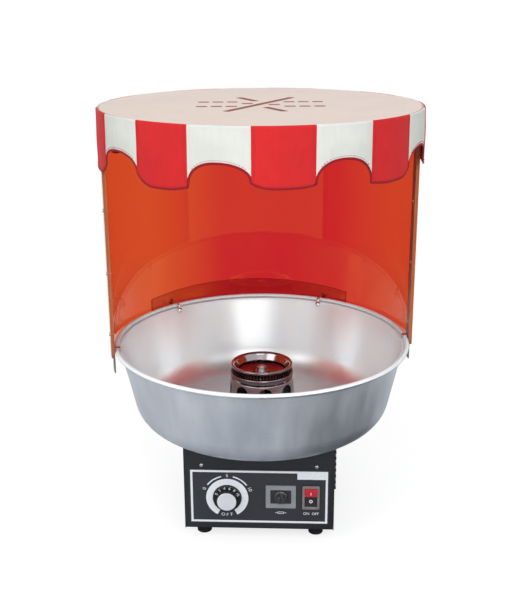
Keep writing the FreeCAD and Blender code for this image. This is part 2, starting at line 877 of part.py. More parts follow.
def make_switch_housing():
    """Bezel and box of the power switch, open in front for the rocker."""
    bezel_y = panel_y - switch_bezel_thickness
    bezel = rounded_plate(switch_x, switch_z, switch_body_width + 2 * switch_bezel_side,
                          switch_body_height + 2 * switch_bezel_end, switch_bezel_corner,
                          bezel_y, panel_y)
    half_width = switch_body_width / 2
    half_height = switch_body_height / 2
    back = front_y + switch_body_depth
    body = block(switch_x - half_width, switch_x + half_width, panel_y - over, back,
                 switch_z - half_height, switch_z + half_height)
    room_half = switch_room_width / 2
    room = block(switch_x - room_half, switch_x + room_half, bezel_y - over,
                 rocker_pivot_y + rocker_radius * 0.6,
                 switch_z - switch_room_height / 2, switch_z + switch_room_height / 2)
    bore_half = room_half + rocker_pin_stub
    pin_bore = rod_x(rocker_pin_radius + running_gap, switch_x - bore_half,
                     switch_x + bore_half, rocker_pivot_y, switch_z)
    return minus(joined([bezel, body] + solder_tags(switch_x, back, switch_z, 3)),
                 [room, pin_bore])


def make_rocker():
    """Rocker with a hollow face, at rest with its lower half pressed in."""
    half = rocker_width / 2
    wide = (switch_x - half - over, switch_x + half + over)
    drum = rod_x(rocker_radius, switch_x - half, switch_x + half, rocker_pivot_y, switch_z)
    rear = block(*wide, rocker_pivot_y + rocker_back, rocker_pivot_y + 2 * rocker_radius,
                 switch_z - 2 * rocker_radius, switch_z + 2 * rocker_radius)
    hollow_radius = 2.6 * rocker_radius
    hollow_y = rocker_pivot_y - 0.62 * rocker_radius + rocker_dip - hollow_radius
    hollow = rod_x(hollow_radius, *wide, hollow_y, switch_z)
    pin_half = half + rocker_pin_stub
    pin = rod_x(rocker_pin_radius, switch_x - pin_half, switch_x + pin_half, rocker_pivot_y,
                switch_z)
    rocker = minus(drum, [rear, hollow]).fuse(pin).removeSplitter()
    rocker.rotate(V(switch_x, rocker_pivot_y, switch_z), V(1, 0, 0), rocker_tilt)
    return rocker


# ---- motor ----------------------------------------------------------------------
def isolator_places():
    return four(isolator_spread / 2, isolator_spread / 2)


def motor_ear_places():
    return [(-motor_ear_x, 0.0), (motor_ear_x, 0.0)]


def make_motor_plate():
    """Square plate that hangs under the cabinet's top and carries the motor."""
    half = isolator_spread / 2 + motor_plate_margin
    plate = block(-half, half, -half, half, motor_top_z, motor_plate_z)
    plate = plate.makeFillet(motor_plate_corner, edges_along(plate, UP))
    cutters = [rod(bearing_radius + motor_bell_wall, motor_top_z - over, motor_plate_z + over)]
    for x, y in isolator_places() + motor_ear_places():
        cutters.append(rod(screw_radius + hole_gap, motor_top_z - over, motor_plate_z + over, x, y))
    return minus(plate, cutters)


def make_isolators():
    return group([tube(isolator_radius, screw_radius + hole_gap, motor_plate_z, top_z - sheet,
                       x, y) for x, y in isolator_places()])


def make_isolator_screws():
    screws = []
    nut_z = motor_top_z - nut_height
    for x, y in isolator_places():
        shank = rod(screw_radius, nut_z - screw_engagement, top_z, x, y)
        head = rod(screw_head_radius, top_z, top_z + screw_head_height, x, y)
        screws.append(joined([shank, head, hexagon(nut_across, x, y, nut_z, nut_height)]))
    return group(screws)


def make_motor_can():
    return tube(motor_radius, motor_radius - motor_can_wall, motor_can_z,
                motor_can_z + motor_can_height)


def make_end_bell():
    """Cast cup with a bearing pocket and air vents: open rim on z=0, closed end above."""
    roof = motor_bell_height - motor_bell_wall
    seat = roof - bearing_height
    cup = rod(motor_radius, 0, motor_bell_height)
    cup = cup.cut(rod(motor_radius - 2 * motor_bell_wall, -over, roof))
    boss = rod(bearing_radius + motor_bell_wall, seat, roof + motor_bell_wall / 2)
    cutters = [rod(bearing_radius, seat - over, roof),
               rod(shaft_radius + motor_bell_gap, roof - over, motor_bell_height + over)]
    vent_circle = (motor_radius + bearing_radius + motor_bell_wall) / 2
    for index in range(motor_vent_count):
        place = polar(vent_circle, 360 / motor_vent_count * (index + 0.5))
        cutters.append(rod(motor_vent_radius, roof - over, motor_bell_height + over,
                           place.x, place.y))
    return minus(joined([cup, boss]), cutters)


def make_upper_bell():
    bell = make_end_bell()
    bell.translate(V(0, 0, motor_top_z - motor_bell_height))
    ears = [rod(motor_ear_radius, motor_top_z - motor_ear_height, motor_top_z, x, y)
            for x, y in motor_ear_places()]
    holes = [rod(screw_radius + running_gap, motor_top_z - motor_bell_height,
                 motor_top_z + over, x, y) for x, y in motor_ear_places()]
    return minus(joined([bell] + ears), holes)


def make_lower_bell():
    bell = make_end_bell()
    bell.rotate(V(0, 0, 0), V(1, 0, 0), 180)
    bell.translate(V(0, 0, motor_can_z))
    return bell


def make_motor_screws():
    screws = []
    for x, y in motor_ear_places():
        shank = rod(screw_radius, motor_top_z - motor_ear_height, motor_plate_z, x, y)
        head = rod(screw_head_radius, motor_plate_z, motor_plate_z + screw_head_height, x, y)
        screws.append(joined([shank, head]))
    return group(screws)


def slot_places():
    return [polar(stator_bore_radius + slot_depth, 360 / slot_count * index)
            for index in range(slot_count)]


def make_stator():
    """Laminated ring with slots for the windings, open towards the bore."""
    low = stator_z
    high = stator_z + stator_height
    cutters = []
    for index, place in enumerate(slot_places()):
        cutters.append(rod(slot_radius, low - over, high + over, place.x, place.y))
        mouth = block(-slot_mouth / 2, slot_mouth / 2, -stator_bore_radius - slot_depth, 0,
                      low - over, high + over)
        cutters.append(turned(mouth, 360 / slot_count * index))
    return minus(tube(motor_radius - motor_can_wall, stator_bore_radius, low, high), cutters)


def make_windings():
    """Coils lying in the stator's slots."""
    return group([rod(coil_radius, stator_z - coil_overhang,
                      stator_z + stator_height + coil_overhang, place.x, place.y)
                  for place in slot_places()])


def make_rotor():
    return tube(stator_bore_radius - rotor_gap, shaft_radius, stator_z, stator_z + stator_height)


def make_bearings():
    upper = motor_top_z - motor_bell_wall - bearing_height
    lower = motor_bottom_z + motor_bell_wall
    rings = []
    for z in (lower, upper):
        ring = tube(bearing_radius, shaft_radius + running_gap, z, z + bearing_height)
        groove = tube(bearing_radius - bearing_race, shaft_radius + bearing_race, z - over,
                      z + bearing_groove)
        rings.append(ring.cut(groove))
    return group(rings)


def make_shaft():
    shaft = rod(shaft_radius, motor_bottom_z - shaft_tail, shaft_top_z)
    return shaft.makeChamfer(shaft_bevel, [edge for edge in shaft.Edges if edge.Closed])


def make_fan():
    """Axial fan: pitched blades between a hub and the open tip circle."""
    low = motor_plate_z + fan_lift
    high = low + fan_height
    blades = []
    for index in range(fan_blade_count):
        blade = block((shaft_radius + fan_hub_radius) / 2, fan_radius + over,
                      -fan_blade_thickness / 2, fan_blade_thickness / 2,
                      low - fan_height, high + fan_height)
        blade.rotate(V(0, 0, (low + high) / 2), V(1, 0, 0), fan_pitch)
        blades.append(turned(blade, 360.0 * index / fan_blade_count))
    wheel = joined(blades).common(tube(fan_radius, shaft_radius, low, high))
    hub = tube(fan_hub_radius, shaft_radius, low, high)
    return hub.fuse(wheel).removeSplitter()


# ---- slip rings and brushes -----------------------------------------------------
def make_slip_hub():
    return tube(slip_hub_radius, shaft_radius, slip_hub_z, slip_hub_z + slip_hub_height)


def slip_ring_levels():
    """Sides of the two brushes and the lower faces of their rings."""
    first = slip_hub_z + slip_ring_space
    return [(-1, first), (1, first + slip_ring_height + slip_ring_space)]


def make_slip_rings():
    return group([tube(slip_ring_radius, slip_hub_radius, z, z + slip_ring_height)
                  for side, z in slip_ring_levels()])


def sided(shape, side):
    """A shape made on the +X side, or turned to the other side."""
    return shape if side > 0 else turned(shape, 180)


def brush_block(near, length, gap):
    """Box on the brush's line at z=0, grown by a gap."""
    half_width = brush_width / 2 + gap
    half_height = brush_height / 2 + gap
    return block(near, near + length, -half_width, half_width, -half_height, half_height)


def bridge_screw_places():
    return [(-bridge_screw_x, 0.0), (bridge_screw_x, 0.0)]


def make_brush_bridge():
    """Bar across the air hole with two upright arms for the brush holders."""
    solids = [block(-bridge_half, bridge_half, -bridge_width / 2, bridge_width / 2, top_z,
                    bridge_z)]
    arm_x = slip_ring_radius + brush_holder_gap + brush_holder_length / 2
    for side, z in slip_ring_levels():
        arm_top = z + slip_ring_height / 2 - brush_height / 2 - rubbing_gap - brush_holder_wall
        arm = block(arm_x, arm_x + bridge_thickness, -arm_width / 2, arm_width / 2, top_z, arm_top)
        solids.append(sided(arm, side))
    cutters = [rod(shaft_radius + bridge_eye_gap, top_z - over, bridge_z + over)]
    for x, y in bridge_screw_places():
        cutters.append(rod(screw_radius + running_gap, top_z - over, bridge_z + over, x, y))
    return minus(joined(solids), cutters)


def make_brush_holders():
    """Square tubes, open towards the slip rings."""
    holders = []
    near = slip_ring_radius + brush_holder_gap
    for side, z in slip_ring_levels():
        outer = brush_block(near, brush_holder_length, rubbing_gap + brush_holder_wall)
        hollow = brush_block(near - over, brush_holder_length + over - brush_holder_wall,
                             rubbing_gap)
        holder = sided(outer.cut(hollow), side)
        holder.translate(V(0, 0, z + slip_ring_height / 2))
        holders.append(holder)
    return group(holders)


def make_brushes():
    brushes = []
    for side, z in slip_ring_levels():
        brush = sided(brush_block(slip_ring_radius + rubbing_gap, brush_length, 0), side)
        brush.translate(V(0, 0, z + slip_ring_height / 2))
        brushes.append(brush)
    return group(brushes)


# ---- air collar -----------------------------------------------------------------
def collar_screw_places():
    circle = collar_flange_radius - low_head_radius - hole_gap
    places = [polar(circle, 45.0 + 90.0 * index) for index in range(4)]
    return [(place.x, place.y) for place in places]


def make_collar():
    """Spun cone with a ring of arched air windows, welded on its flange ring."""
    foot = collar_foot_radius
    low = bridge_z - collar_wall
    top = head_radius
    lip = top - collar_lip
    round_z = bridge_z + collar_foot_round
    curl_z = collar_top_z - collar_curl
    cone = revolved((foot - collar_wall, bridge_z),
                    *arc((foot + collar_foot_round, bridge_z), (foot, round_z),
                         (foot + collar_foot_round, round_z)),
                    *arc((top, curl_z), (top - collar_curl, collar_top_z),
                         (top - collar_curl, curl_z)),
                    (lip, collar_top_z), (lip, collar_top_z - collar_wall),
                    (top - collar_wall, collar_top_z - collar_wall),
                    (foot - collar_wall, round_z))
    half = collar_window_width / 2
    arch_z = collar_top_z - collar_window_drop - half
    sill_z = collar_top_z - collar_window_drop - collar_window_height
    near = -collar_flange_radius
    window = joined([block(-half, half, near, near / 2, sill_z, arch_z),
                     rod_y(half, near, near / 2, 0, arch_z)])
    windows = [turned(window, collar_turn + 360.0 * index / collar_window_count)
               for index in range(collar_window_count)]
    holes = [rod(screw_radius + hole_gap, top_z, bridge_z + over, x, y)
             for x, y in collar_screw_places()]
    flange = tube(collar_flange_radius, foot - collar_wall, low, bridge_z)
    return group([minus(cone, windows), minus(flange, holes)])


def make_collar_gasket():
    """Gasket between the cabinet's top and the collar's flange."""
    low = top_z
    high = bridge_z - collar_wall
    holes = [rod(screw_radius + hole_gap, low - over, high + over, x, y)
             for x, y in collar_screw_places()]
    return minus(tube(collar_flange_radius, collar_foot_radius - collar_wall, low, high), holes)


def make_collar_screws():
    """Short screws through the collar's flange and the brush bridge."""
    screws = []
    for x, y in collar_screw_places() + bridge_screw_places():
        head = rod(low_head_radius, bridge_z, bridge_z + screw_head_height, x, y)
        shank = rod(screw_radius, top_z - sheet - screw_engagement, bridge_z, x, y)
        screws.append(joined([head, shank]))
    return group(screws)


# ---- spinning head --------------------------------------------------------------
def stud_places():
    return [polar(band_radius - stud_inset, 360 / stud_count * index + stud_turn)
            for index in range(stud_count)]


def make_head_base():
    """Turned base: hub, hollow sugar dish and polished outer ring."""
    edge = head_edge_round
    foot = head_hub_radius + head_hub_cone
    under = dish_z - head_floor
    bulge = ((dish_radius + foot) / 2, dish_z + head_dish_depth * head_dish_bulge)
    base = revolved((shaft_radius, dish_z - head_hub_drop),
                    (head_hub_radius, dish_z - head_hub_drop), (head_hub_radius, under),
                    (dish_radius - head_dish_depth, under), (dish_radius + edge, head_z),
                    *arc((head_radius - edge, head_z), (head_radius, head_z + edge),
                         (head_radius - edge, head_z + edge)),
                    *arc((head_radius, band_z - edge), (head_radius - edge, band_z),
                         (head_radius - edge, band_z - edge)),
                    (dish_radius, band_z), (bulge, (foot, dish_z)),
                    (head_hub_radius, hub_top_z), (shaft_radius, hub_top_z))
    return minus(base, [rod(stud_radius, head_z - over, band_z + over, place.x, place.y)
                        for place in stud_places()])


def make_floss_band():
    """Thin band with a full ring of upright slots, through which the sugar leaves."""
    ring = tube(band_radius, band_radius - band_thickness, band_z, cap_z)
    slot = block(-band_slot_width / 2, band_slot_width / 2, -band_radius - over,
                 band_thickness + over - band_radius, band_z + band_slot_margin,
                 cap_z - band_slot_margin)
    return minus(ring, [turned(slot, 360.0 * index / band_slot_count)
                        for index in range(band_slot_count)])


def make_cap_ring():
    """Top ring with a rolled mouth and a conical skirt that guides sugar inwards."""
    outer = band_radius + cap_overhang
    edge = cap_ring_round
    skirt = throat_radius - cap_skirt_taper
    low = band_z + cap_skirt_gap
    mouth = outer - edge - throat_radius
    ring = revolved((skirt, low), (skirt + cap_skirt_wall, low),
                    (throat_radius + cap_skirt_wall, cap_z), (outer, cap_z),
                    *arc((outer, head_top_z - edge), (outer - edge, head_top_z),
                         (outer - edge, head_top_z - edge)),
                    ((throat_radius + 0.45 * mouth, cap_z + 0.75 * cap_ring_height),
                     (throat_radius, cap_z)))
    return minus(ring, [rod(stud_radius, band_z, cap_z + stud_thread, place.x, place.y)
                        for place in stud_places()])


def make_heater():
    """Corrugated resistance ribbon that stands inside the band."""
    def zigzag(offset):
        """Prism inside the ribbon's middle line, grown by an offset."""
        steps = 2 * heater_wave_count
        points = []
        for index in range(steps + 1):
            wave = heater_wave if index % 2 else -heater_wave
            points.append(polar(heater_radius + wave + offset, 360.0 * index / steps))
        return Part.Face(Part.makePolygon(points)).extrude(V(0, 0, heater_height))

    ribbon = zigzag(heater_thickness / 2).cut(zigzag(-heater_thickness / 2))
    ribbon.translate(V(0, 0, band_z + heater_lift))
    return ribbon


def make_heater_insulators():
    """Ceramic pads between the base and the ribbon."""
    reach = heater_wave + pad_overlap
    return group([sector(heater_radius + reach, heater_radius - reach, band_z,
                         band_z + heater_lift, 360 / pad_count * index - pad_angle / 2,
                         360 / pad_count * index + pad_angle / 2)
                  for index in range(pad_count)])


def make_head_studs():
    """Long screws that clamp cap ring, band and base together."""
    studs = []
    for place in stud_places():
        shank = rod(stud_radius, head_z - over, cap_z + stud_thread, place.x, place.y)
        head = rod(stud_head_radius, head_z - stud_head_height, head_z, place.x, place.y)
        studs.append(joined([shank, head]))
    return group(studs)


def make_heater_leads():
    """Two stiff leads from the slip rings up into the head's hub."""
    return group([rod(lead_radius, slip_hub_z + slip_hub_height, dish_z - head_hub_drop,
                      side * lead_offset) for side in (-1, 1)])


def make_hub_nut():
    """Washer and nut that hold the head on the motor shaft."""
    nut_z = hub_top_z + hub_washer_height
    washer = rod(hub_washer_radius, hub_top_z, nut_z)
    bevel = Part.makeCone(hub_nut_across / 2 + hub_nut_height, hub_nut_across / 2,
                          hub_nut_height, V(0, 0, nut_z))
    nut = hexagon(hub_nut_across, 0, 0, nut_z, hub_nut_height).common(bevel)
    return joined([washer, nut]).cut(rod(shaft_radius, hub_top_z - over, shaft_top_z + over))


# ---- floss bowl -----------------------------------------------------------------
def make_bowl_seat():
    """Rubber ring under the bowl, with rounded upper edges."""
    edge = bowl_seat_round
    inner = bowl_seat_radius - bowl_seat_width
    return revolved((inner, top_z), (bowl_seat_radius, top_z),
                    *arc((bowl_seat_radius, bowl_z - edge), (bowl_seat_radius - edge, bowl_z),
                         (bowl_seat_radius - edge, bowl_z - edge)),
                    *arc((inner + edge, bowl_z), (inner, bowl_z - edge),
                         (inner + edge, bowl_z - edge)))


def bowl_wall_line(z):
    """Outer radius of the bowl's conical wall at a height."""
    return bowl_wall_radius - (ledge_z - z) * math.tan(math.radians(bowl_wall_lean))


def bowl_wall_width():
    """Thickness of the leaning wall, measured level."""
    return bowl_wall / math.cos(math.radians(bowl_wall_lean))


def make_bowl():
    """Spun bowl: flat floor with a turned-up hole, round corner, cone and rolled rim."""
    lean = math.radians(bowl_wall_lean)
    corner_z = bowl_z + bowl_corner_radius
    corner_r = bowl_wall_line(corner_z) - bowl_corner_radius / math.cos(lean)
    inner_radius = bowl_corner_radius - bowl_wall
    bead_r = rim_radius - bead_radius

    def on_corner(radius, turn):
        return (corner_r + radius * math.cos(turn), corner_z + radius * math.sin(turn))

    middle = -(math.pi / 2 + lean) / 2
    lip_z = bowl_z + bowl_lip_height
    shell = revolved((bowl_hole_radius, bowl_z), (corner_r, bowl_z),
                     (on_corner(bowl_corner_radius, middle), on_corner(bowl_corner_radius, -lean)),
                     (bowl_wall_radius, ledge_z), (bead_r, ledge_z),
                     (bead_r, ledge_z + bowl_wall),
                     (bowl_wall_radius - bowl_wall_width(), ledge_z + bowl_wall),
                     on_corner(inner_radius, -lean),
                     (on_corner(inner_radius, middle), (corner_r, bowl_z + bowl_wall)),
                     (bowl_hole_radius + bowl_wall, bowl_z + bowl_wall),
                     (bowl_hole_radius + bowl_wall, lip_z), (bowl_hole_radius, lip_z))
    bead = Part.makeTorus(bead_r, bead_radius, V(0, 0, rim_z - bead_radius))
    hollow = Part.makeTorus(bead_r, bead_radius - bowl_wall, V(0, 0, rim_z - bead_radius))
    throat = tube(bead_r - bowl_wall / 2, bead_r - bead_radius - over, ledge_z + bowl_wall,
                  rim_z - bead_radius - bowl_wall / 2)
    return minus(shell.fuse(bead).removeSplitter(), [hollow, throat])


# ---- shield ---------------------------------------------------------------------
def hook_angles():
    return (180.0 - hook_angle, 180.0 + hook_angle)


def radial_rod(radius, inner, outer, angle, z):
    """Cylinder that points outwards at a plan angle."""
    return Part.makeCylinder(radius, outer - inner, polar(inner, angle, z), polar(1, angle))


def rivet_places():
    """Plan angles and heights of the rivets through sheet and posts."""
    return [(angle, rim_z + rivet_first_rise + index * rivet_pitch)
            for angle in (-post_angle, post_angle) for index in range(rivet_count)]


def rivet_holes():
    return [radial_rod(rivet_shank_radius + running_gap, post_inner_radius - post_thickness,
                       shield_radius + post_thickness, angle, z) for angle, z in rivet_places()]


def hook_holes():
    return [radial_rod(hook_radius + running_gap, shield_inner_radius - shield_thickness,
                       backing_radius + shield_thickness, angle, hook_z)
            for angle in hook_angles()]


def make_shield_sheet():
    """Bent acrylic sheet, open at the front."""
    bent = sector(shield_radius, shield_inner_radius, shield_z, shield_top_z,
                  shield_end_angle, 360.0 - shield_end_angle)
    return around(minus(bent, rivet_holes() + hook_holes()))


def make_backing_strip():
    """Second acrylic layer behind the sheet's foot, with an arched top edge."""
    high = rim_z + backing_above_rim
    strip = sector(backing_radius, backing_inner_radius, shield_z, high,
                   180.0 - backing_angle, 180.0 + backing_angle)
    half_chord = backing_radius * math.sin(math.radians(backing_angle))
    arch_radius = (half_chord ** 2 + backing_arch ** 2) / (2 * backing_arch)
    arch = rod_y(arch_radius, 0, backing_radius + over, 0, high - arch_radius)
    return around(minus(strip.common(arch), hook_holes()))


def make_posts():
    """Flat metal uprights at the sheet's front edges, with tabs under the board."""
    posts = []
    for angle in (-post_angle, post_angle):
        post = sector(shield_inner_radius, post_inner_radius, rim_z - post_below_rim,
                      shield_top_z, angle - post_half_angle, angle + post_half_angle)
        tab_half = post_half_angle * post_tab_share
        tab = sector(shield_inner_radius - post_thickness / 2,
                     shield_inner_radius - post_tab_length, shield_top_z - post_thickness,
                     shield_top_z, angle - tab_half, angle + tab_half)
        posts.append(minus(joined([post, tab]), rivet_holes()))
    return around(group(posts))


def make_rivets():
    rivets = []
    inner = post_inner_radius - running_gap
    for angle, z in rivet_places():
        shank = radial_rod(rivet_shank_radius, inner, shield_radius + running_gap, angle, z)
        inner_head = radial_rod(rivet_radius, inner - rivet_head_height, inner, angle, z)
        outer_head = radial_rod(rivet_radius, shield_radius + running_gap,
                                shield_radius + running_gap + rivet_head_height, angle, z)
        rivets.append(joined([shank, inner_head, outer_head]))
    return around(group(rivets))


def make_hooks():
    """Ball-ended hooks that hang the shield on the bowl's rim, with nuts outside."""
    ball_r = bowl_wall_line(ball_z) - bowl_wall_width() - hook_wall_gap - hook_ball_radius
    tail = V(backing_radius + nut_height + hook_tail, 0, hook_z)
    bend_start = V(ball_r + hook_bend, 0, hook_z)
    bend_end = V(ball_r, 0, hook_z - hook_bend)
    corner = hook_bend * math.sqrt(0.5)
    bend_middle = V(bend_start.x - corner, 0, bend_end.z + corner)
    ball_centre = V(ball_r, 0, ball_z)
    path = Part.Wire([Part.makeLine(tail, bend_start),
                      Part.Arc(bend_start, bend_middle, bend_end).toShape(),
                      Part.makeLine(bend_end, ball_centre)])
    section = Part.Wire(Part.makeCircle(hook_radius, tail, V(-1, 0, 0)))
    wire = path.makePipeShell([section], True, False)
    ball = Part.makeSphere(hook_ball_radius, ball_centre)
    nut = hexagon(hook_nut_across, backing_radius, 0, hook_z, nut_height, V(1, 0, 0))
    hook = turned(joined([wire, ball, nut]), -90)
    return around(group([turned(hook, angle) for angle in hook_angles()]))


def make_saddles():
    """Short clips from the posts over the rim's bead."""
    saddles = []
    half = math.degrees(saddle_width / rim_radius) / 2
    lip_outer = rim_radius - 2 * bead_radius - seat_gap
    lip_inner = lip_outer - saddle_thickness
    low = rim_z + seat_gap
    high = low + saddle_thickness
    for angle in (-post_angle, post_angle):
        bridge = sector(post_inner_radius, lip_inner, low, high, angle - half, angle + half)
        lip = sector(lip_outer, lip_inner, rim_z - bead_radius, high, angle - half, angle + half)
        leg = sector(post_inner_radius, post_inner_radius - saddle_thickness / 3, low,
                     low + 3 * saddle_thickness, angle - half, angle + half)
        saddles.append(joined([bridge, lip, leg]))
    return around(group(saddles))


# ---- canopy ---------------------------------------------------------------------
def vent_bar(length, x, y, angle):
    """Slot cutter of a given length, centred on (x, y)."""
    half = vent_width / 2
    low = shield_top_z - over
    high = board_top_z + over
    straight = length / 2 - half
    bar = joined([block(-straight, straight, -half, half, low, high),
                  rod(half, low, high, -straight), rod(half, low, high, straight)])
    bar.rotate(V(0, 0, 0), UP, angle)
    bar.translate(V(x, y, 0))
    return bar


def vent_cutters():
    """One long slot, two short ones across it, and dashes in rows on both sides."""
    cutters = [vent_bar(vent_cross_length, 0, 0, vent_cross_angle)]
    for side in (-1, 1):
        cutters.append(vent_bar(vent_short_length, side * vent_short_x, -side * vent_short_y,
                                -vent_cross_angle))
        cutters.append(vent_bar(dash_length, side * dash_inner_x, -side * dash_inner_y, 0))
        for row in (-1, 1):
            for index in range(dash_row_count):
                out = dash_row_x + index * dash_pitch
                cutters.append(vent_bar(dash_length, side * out, row * dash_row_y, 0))
    return cutters


def make_board():
    """Stiff round top with its ventilation slots."""
    disc = rod(board_radius, shield_top_z, board_top_z)
    disc = disc.makeChamfer(board_bevel, [edge for edge in disc.Edges if edge.Closed])
    return turned(minus(disc, vent_cutters()), vent_turn)


def make_valance():
    """Cloth skirt of long and arched panels, sewn to a hem around the board."""
    skirt = tube(valance_radius, valance_inner_radius, valance_z, board_top_z)
    hem = tube(valance_inner_radius + valance_thickness / 2, board_radius + seat_gap,
               board_top_z - hem_height, board_top_z)
    panel = 360.0 / panel_count
    half_chord = valance_radius * math.sin(math.radians(panel / 2))
    arch_radius = (half_chord ** 2 + arch_rise ** 2) / (2 * arch_rise)
    tip_z = valance_z + arch_tip
    near = (-valance_radius - over, -valance_inner_radius / 2)
    arch = rod_y(arch_radius, *near, 0, tip_z + arch_rise - arch_radius)
    below = block(-half_chord, half_chord, *near, valance_z - over, tip_z)
    cutter = joined([arch, below])
    return around(minus(joined([skirt, hem]),
                        [turned(cutter, panel * index) for index in range(1, panel_count, 2)]))


# ---- all parts ------------------------------------------------------------------
parts = {
    "chassis": make_chassis(),
    "cabinet_cover": make_cover(),
    "rubber_feet": make_feet(),
    "foot_screws": make_foot_screws(),
    "cover_screws": make_cover_screws(),
    "mains_inlet": make_inlet(),
    "inlet_screws": make_inlet_screws(),
    "control_plate": make_control_plate(),
    "heat_control": make_heat_control(),
    "dial_spindle": make_dial_spindle(),
    "heat_knob": make_heat_knob(),
    "knob_cap": make_knob_cap(),
    "fuse_plate": make_fuse_plate(),
    "fuse_holder": make_fuse_holder(),
    "fuse_cap": make_fuse_cap(),
    "fuse_link": make_fuse_link(),
    "switch_housing": make_switch_housing(),
    "power_rocker": make_rocker(),
    "motor_plate": make_motor_plate(),
    "motor_isolators": make_isolators(),
    "isolator_screws": make_isolator_screws(),
    "motor_can": make_motor_can(),
    "motor_upper_bell": make_upper_bell(),
    "motor_lower_bell": make_lower_bell(),
    "motor_screws": make_motor_screws(),
    "stator_core": make_stator(),
    "stator_windings": make_windings(),
    "rotor_core": make_rotor(),
    "shaft_bearings": make_bearings(),
    "drive_shaft": make_shaft(),
    "cooling_fan": make_fan(),
    "slip_ring_hub": make_slip_hub(),
    "slip_rings": make_slip_rings(),
    "brush_bridge": make_brush_bridge(),
    "brush_holders": make_brush_holders(),
    "carbon_brushes": make_brushes(),
    "air_collar": make_collar(),
    "collar_gasket": make_collar_gasket(),
    "collar_screws": make_collar_screws(),
    "head_base": make_head_base(),
    "floss_band": make_floss_band(),
    "head_cap_ring": make_cap_ring(),
    "heater_ribbon": make_heater(),
    "heater_insulators": make_heater_insulators(),
    "head_studs": make_head_studs(),
    "heater_leads": make_heater_leads(),
    "hub_nut": make_hub_nut(),
    "bowl_seat": make_bowl_seat(),
    "floss_bowl": make_bowl(),
    "shield_sheet": make_shield_sheet(),
    "shield_backing": make_backing_strip(),
    "shield_posts": make_posts(),
    "post_rivets": make_rivets(),
    "rim_hooks": make_hooks(),
    "rim_saddles": make_saddles(),
    "canopy_board": make_board(),
    "canopy_valance": make_valance(),
}

os.makedirs("parts", exist_ok=True)
for name, shape in parts.items():
    shape.exportStep("parts/" + name + ".step")
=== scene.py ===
import math
import random

import bmesh
import bpy
from mathutils import Matrix, Vector
from mathutils.bvhtree import BVHTree


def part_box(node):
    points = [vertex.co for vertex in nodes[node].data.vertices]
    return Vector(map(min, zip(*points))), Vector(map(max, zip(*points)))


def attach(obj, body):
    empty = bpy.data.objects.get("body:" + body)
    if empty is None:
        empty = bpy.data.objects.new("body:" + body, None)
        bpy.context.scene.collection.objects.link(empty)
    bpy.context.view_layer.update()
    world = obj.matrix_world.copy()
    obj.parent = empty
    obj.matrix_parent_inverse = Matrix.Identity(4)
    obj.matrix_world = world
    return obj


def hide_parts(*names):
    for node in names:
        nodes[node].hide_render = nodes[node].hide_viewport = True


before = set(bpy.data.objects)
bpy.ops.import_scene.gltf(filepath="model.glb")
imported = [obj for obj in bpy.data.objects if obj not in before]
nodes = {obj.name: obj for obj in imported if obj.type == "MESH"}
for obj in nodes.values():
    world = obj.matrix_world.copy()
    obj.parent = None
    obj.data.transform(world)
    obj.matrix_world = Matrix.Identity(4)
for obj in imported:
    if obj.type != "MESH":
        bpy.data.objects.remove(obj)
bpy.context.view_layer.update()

random.seed(7)

# Where the machine's parts are, in metres
BOWL_TURN = math.radians(9.5)      # shield and canopy against the cabinet
PLATE_LOW, PLATE_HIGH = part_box("control_plate")
KNOB_LOW, KNOB_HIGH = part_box("heat_knob")
KNOB = (KNOB_LOW + KNOB_HIGH) / 2
ROCKER_LOW, ROCKER_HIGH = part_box("power_rocker")
SWITCH = (ROCKER_LOW + ROCKER_HIGH) / 2
BEZEL_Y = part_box("switch_housing")[0].y
BOARD_LOW, BOARD_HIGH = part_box("canopy_board")
BOWL_FLOOR_Z, BOWL_WALL_Z = 0.152, 0.175   # the bowl's round corner, low and high
RIM_LOW_Z, RIM_HIGH_Z = 0.2585, 0.2625     # between them the rim's pale top sets in
BARE_Z, PAINTED_SHEET_LIGHT_Z = 0.262, 0.285    # the shield's strips are bare below; above, the sheet's orange-red light is painted on them
SHEET_MIDDLE_X = 0.022             # middle of the sheet's back, left in its own redder tint
PAINTED_LIGHT_START, PAINTED_LIGHT_END = 0.09, 0.215     # how far to its sides orange light is painted into the tint
WEAVE_R, THREAD = 0.217, 0.0011    # radius where threads are this far apart


# ---- shader helpers -------------------------------------------------------------
def rgb(r, g, b):
    """Linear colour from 0-255 screen values."""
    def linear(c):
        c /= 255
        return c / 12.92 if c <= 0.04045 else ((c + 0.055) / 1.055) ** 2.4
    return (linear(r), linear(g), linear(b), 1.0)


def shade(colour, factor):
    return tuple(min(1.0, c * factor) for c in colour[:3]) + (1.0,)


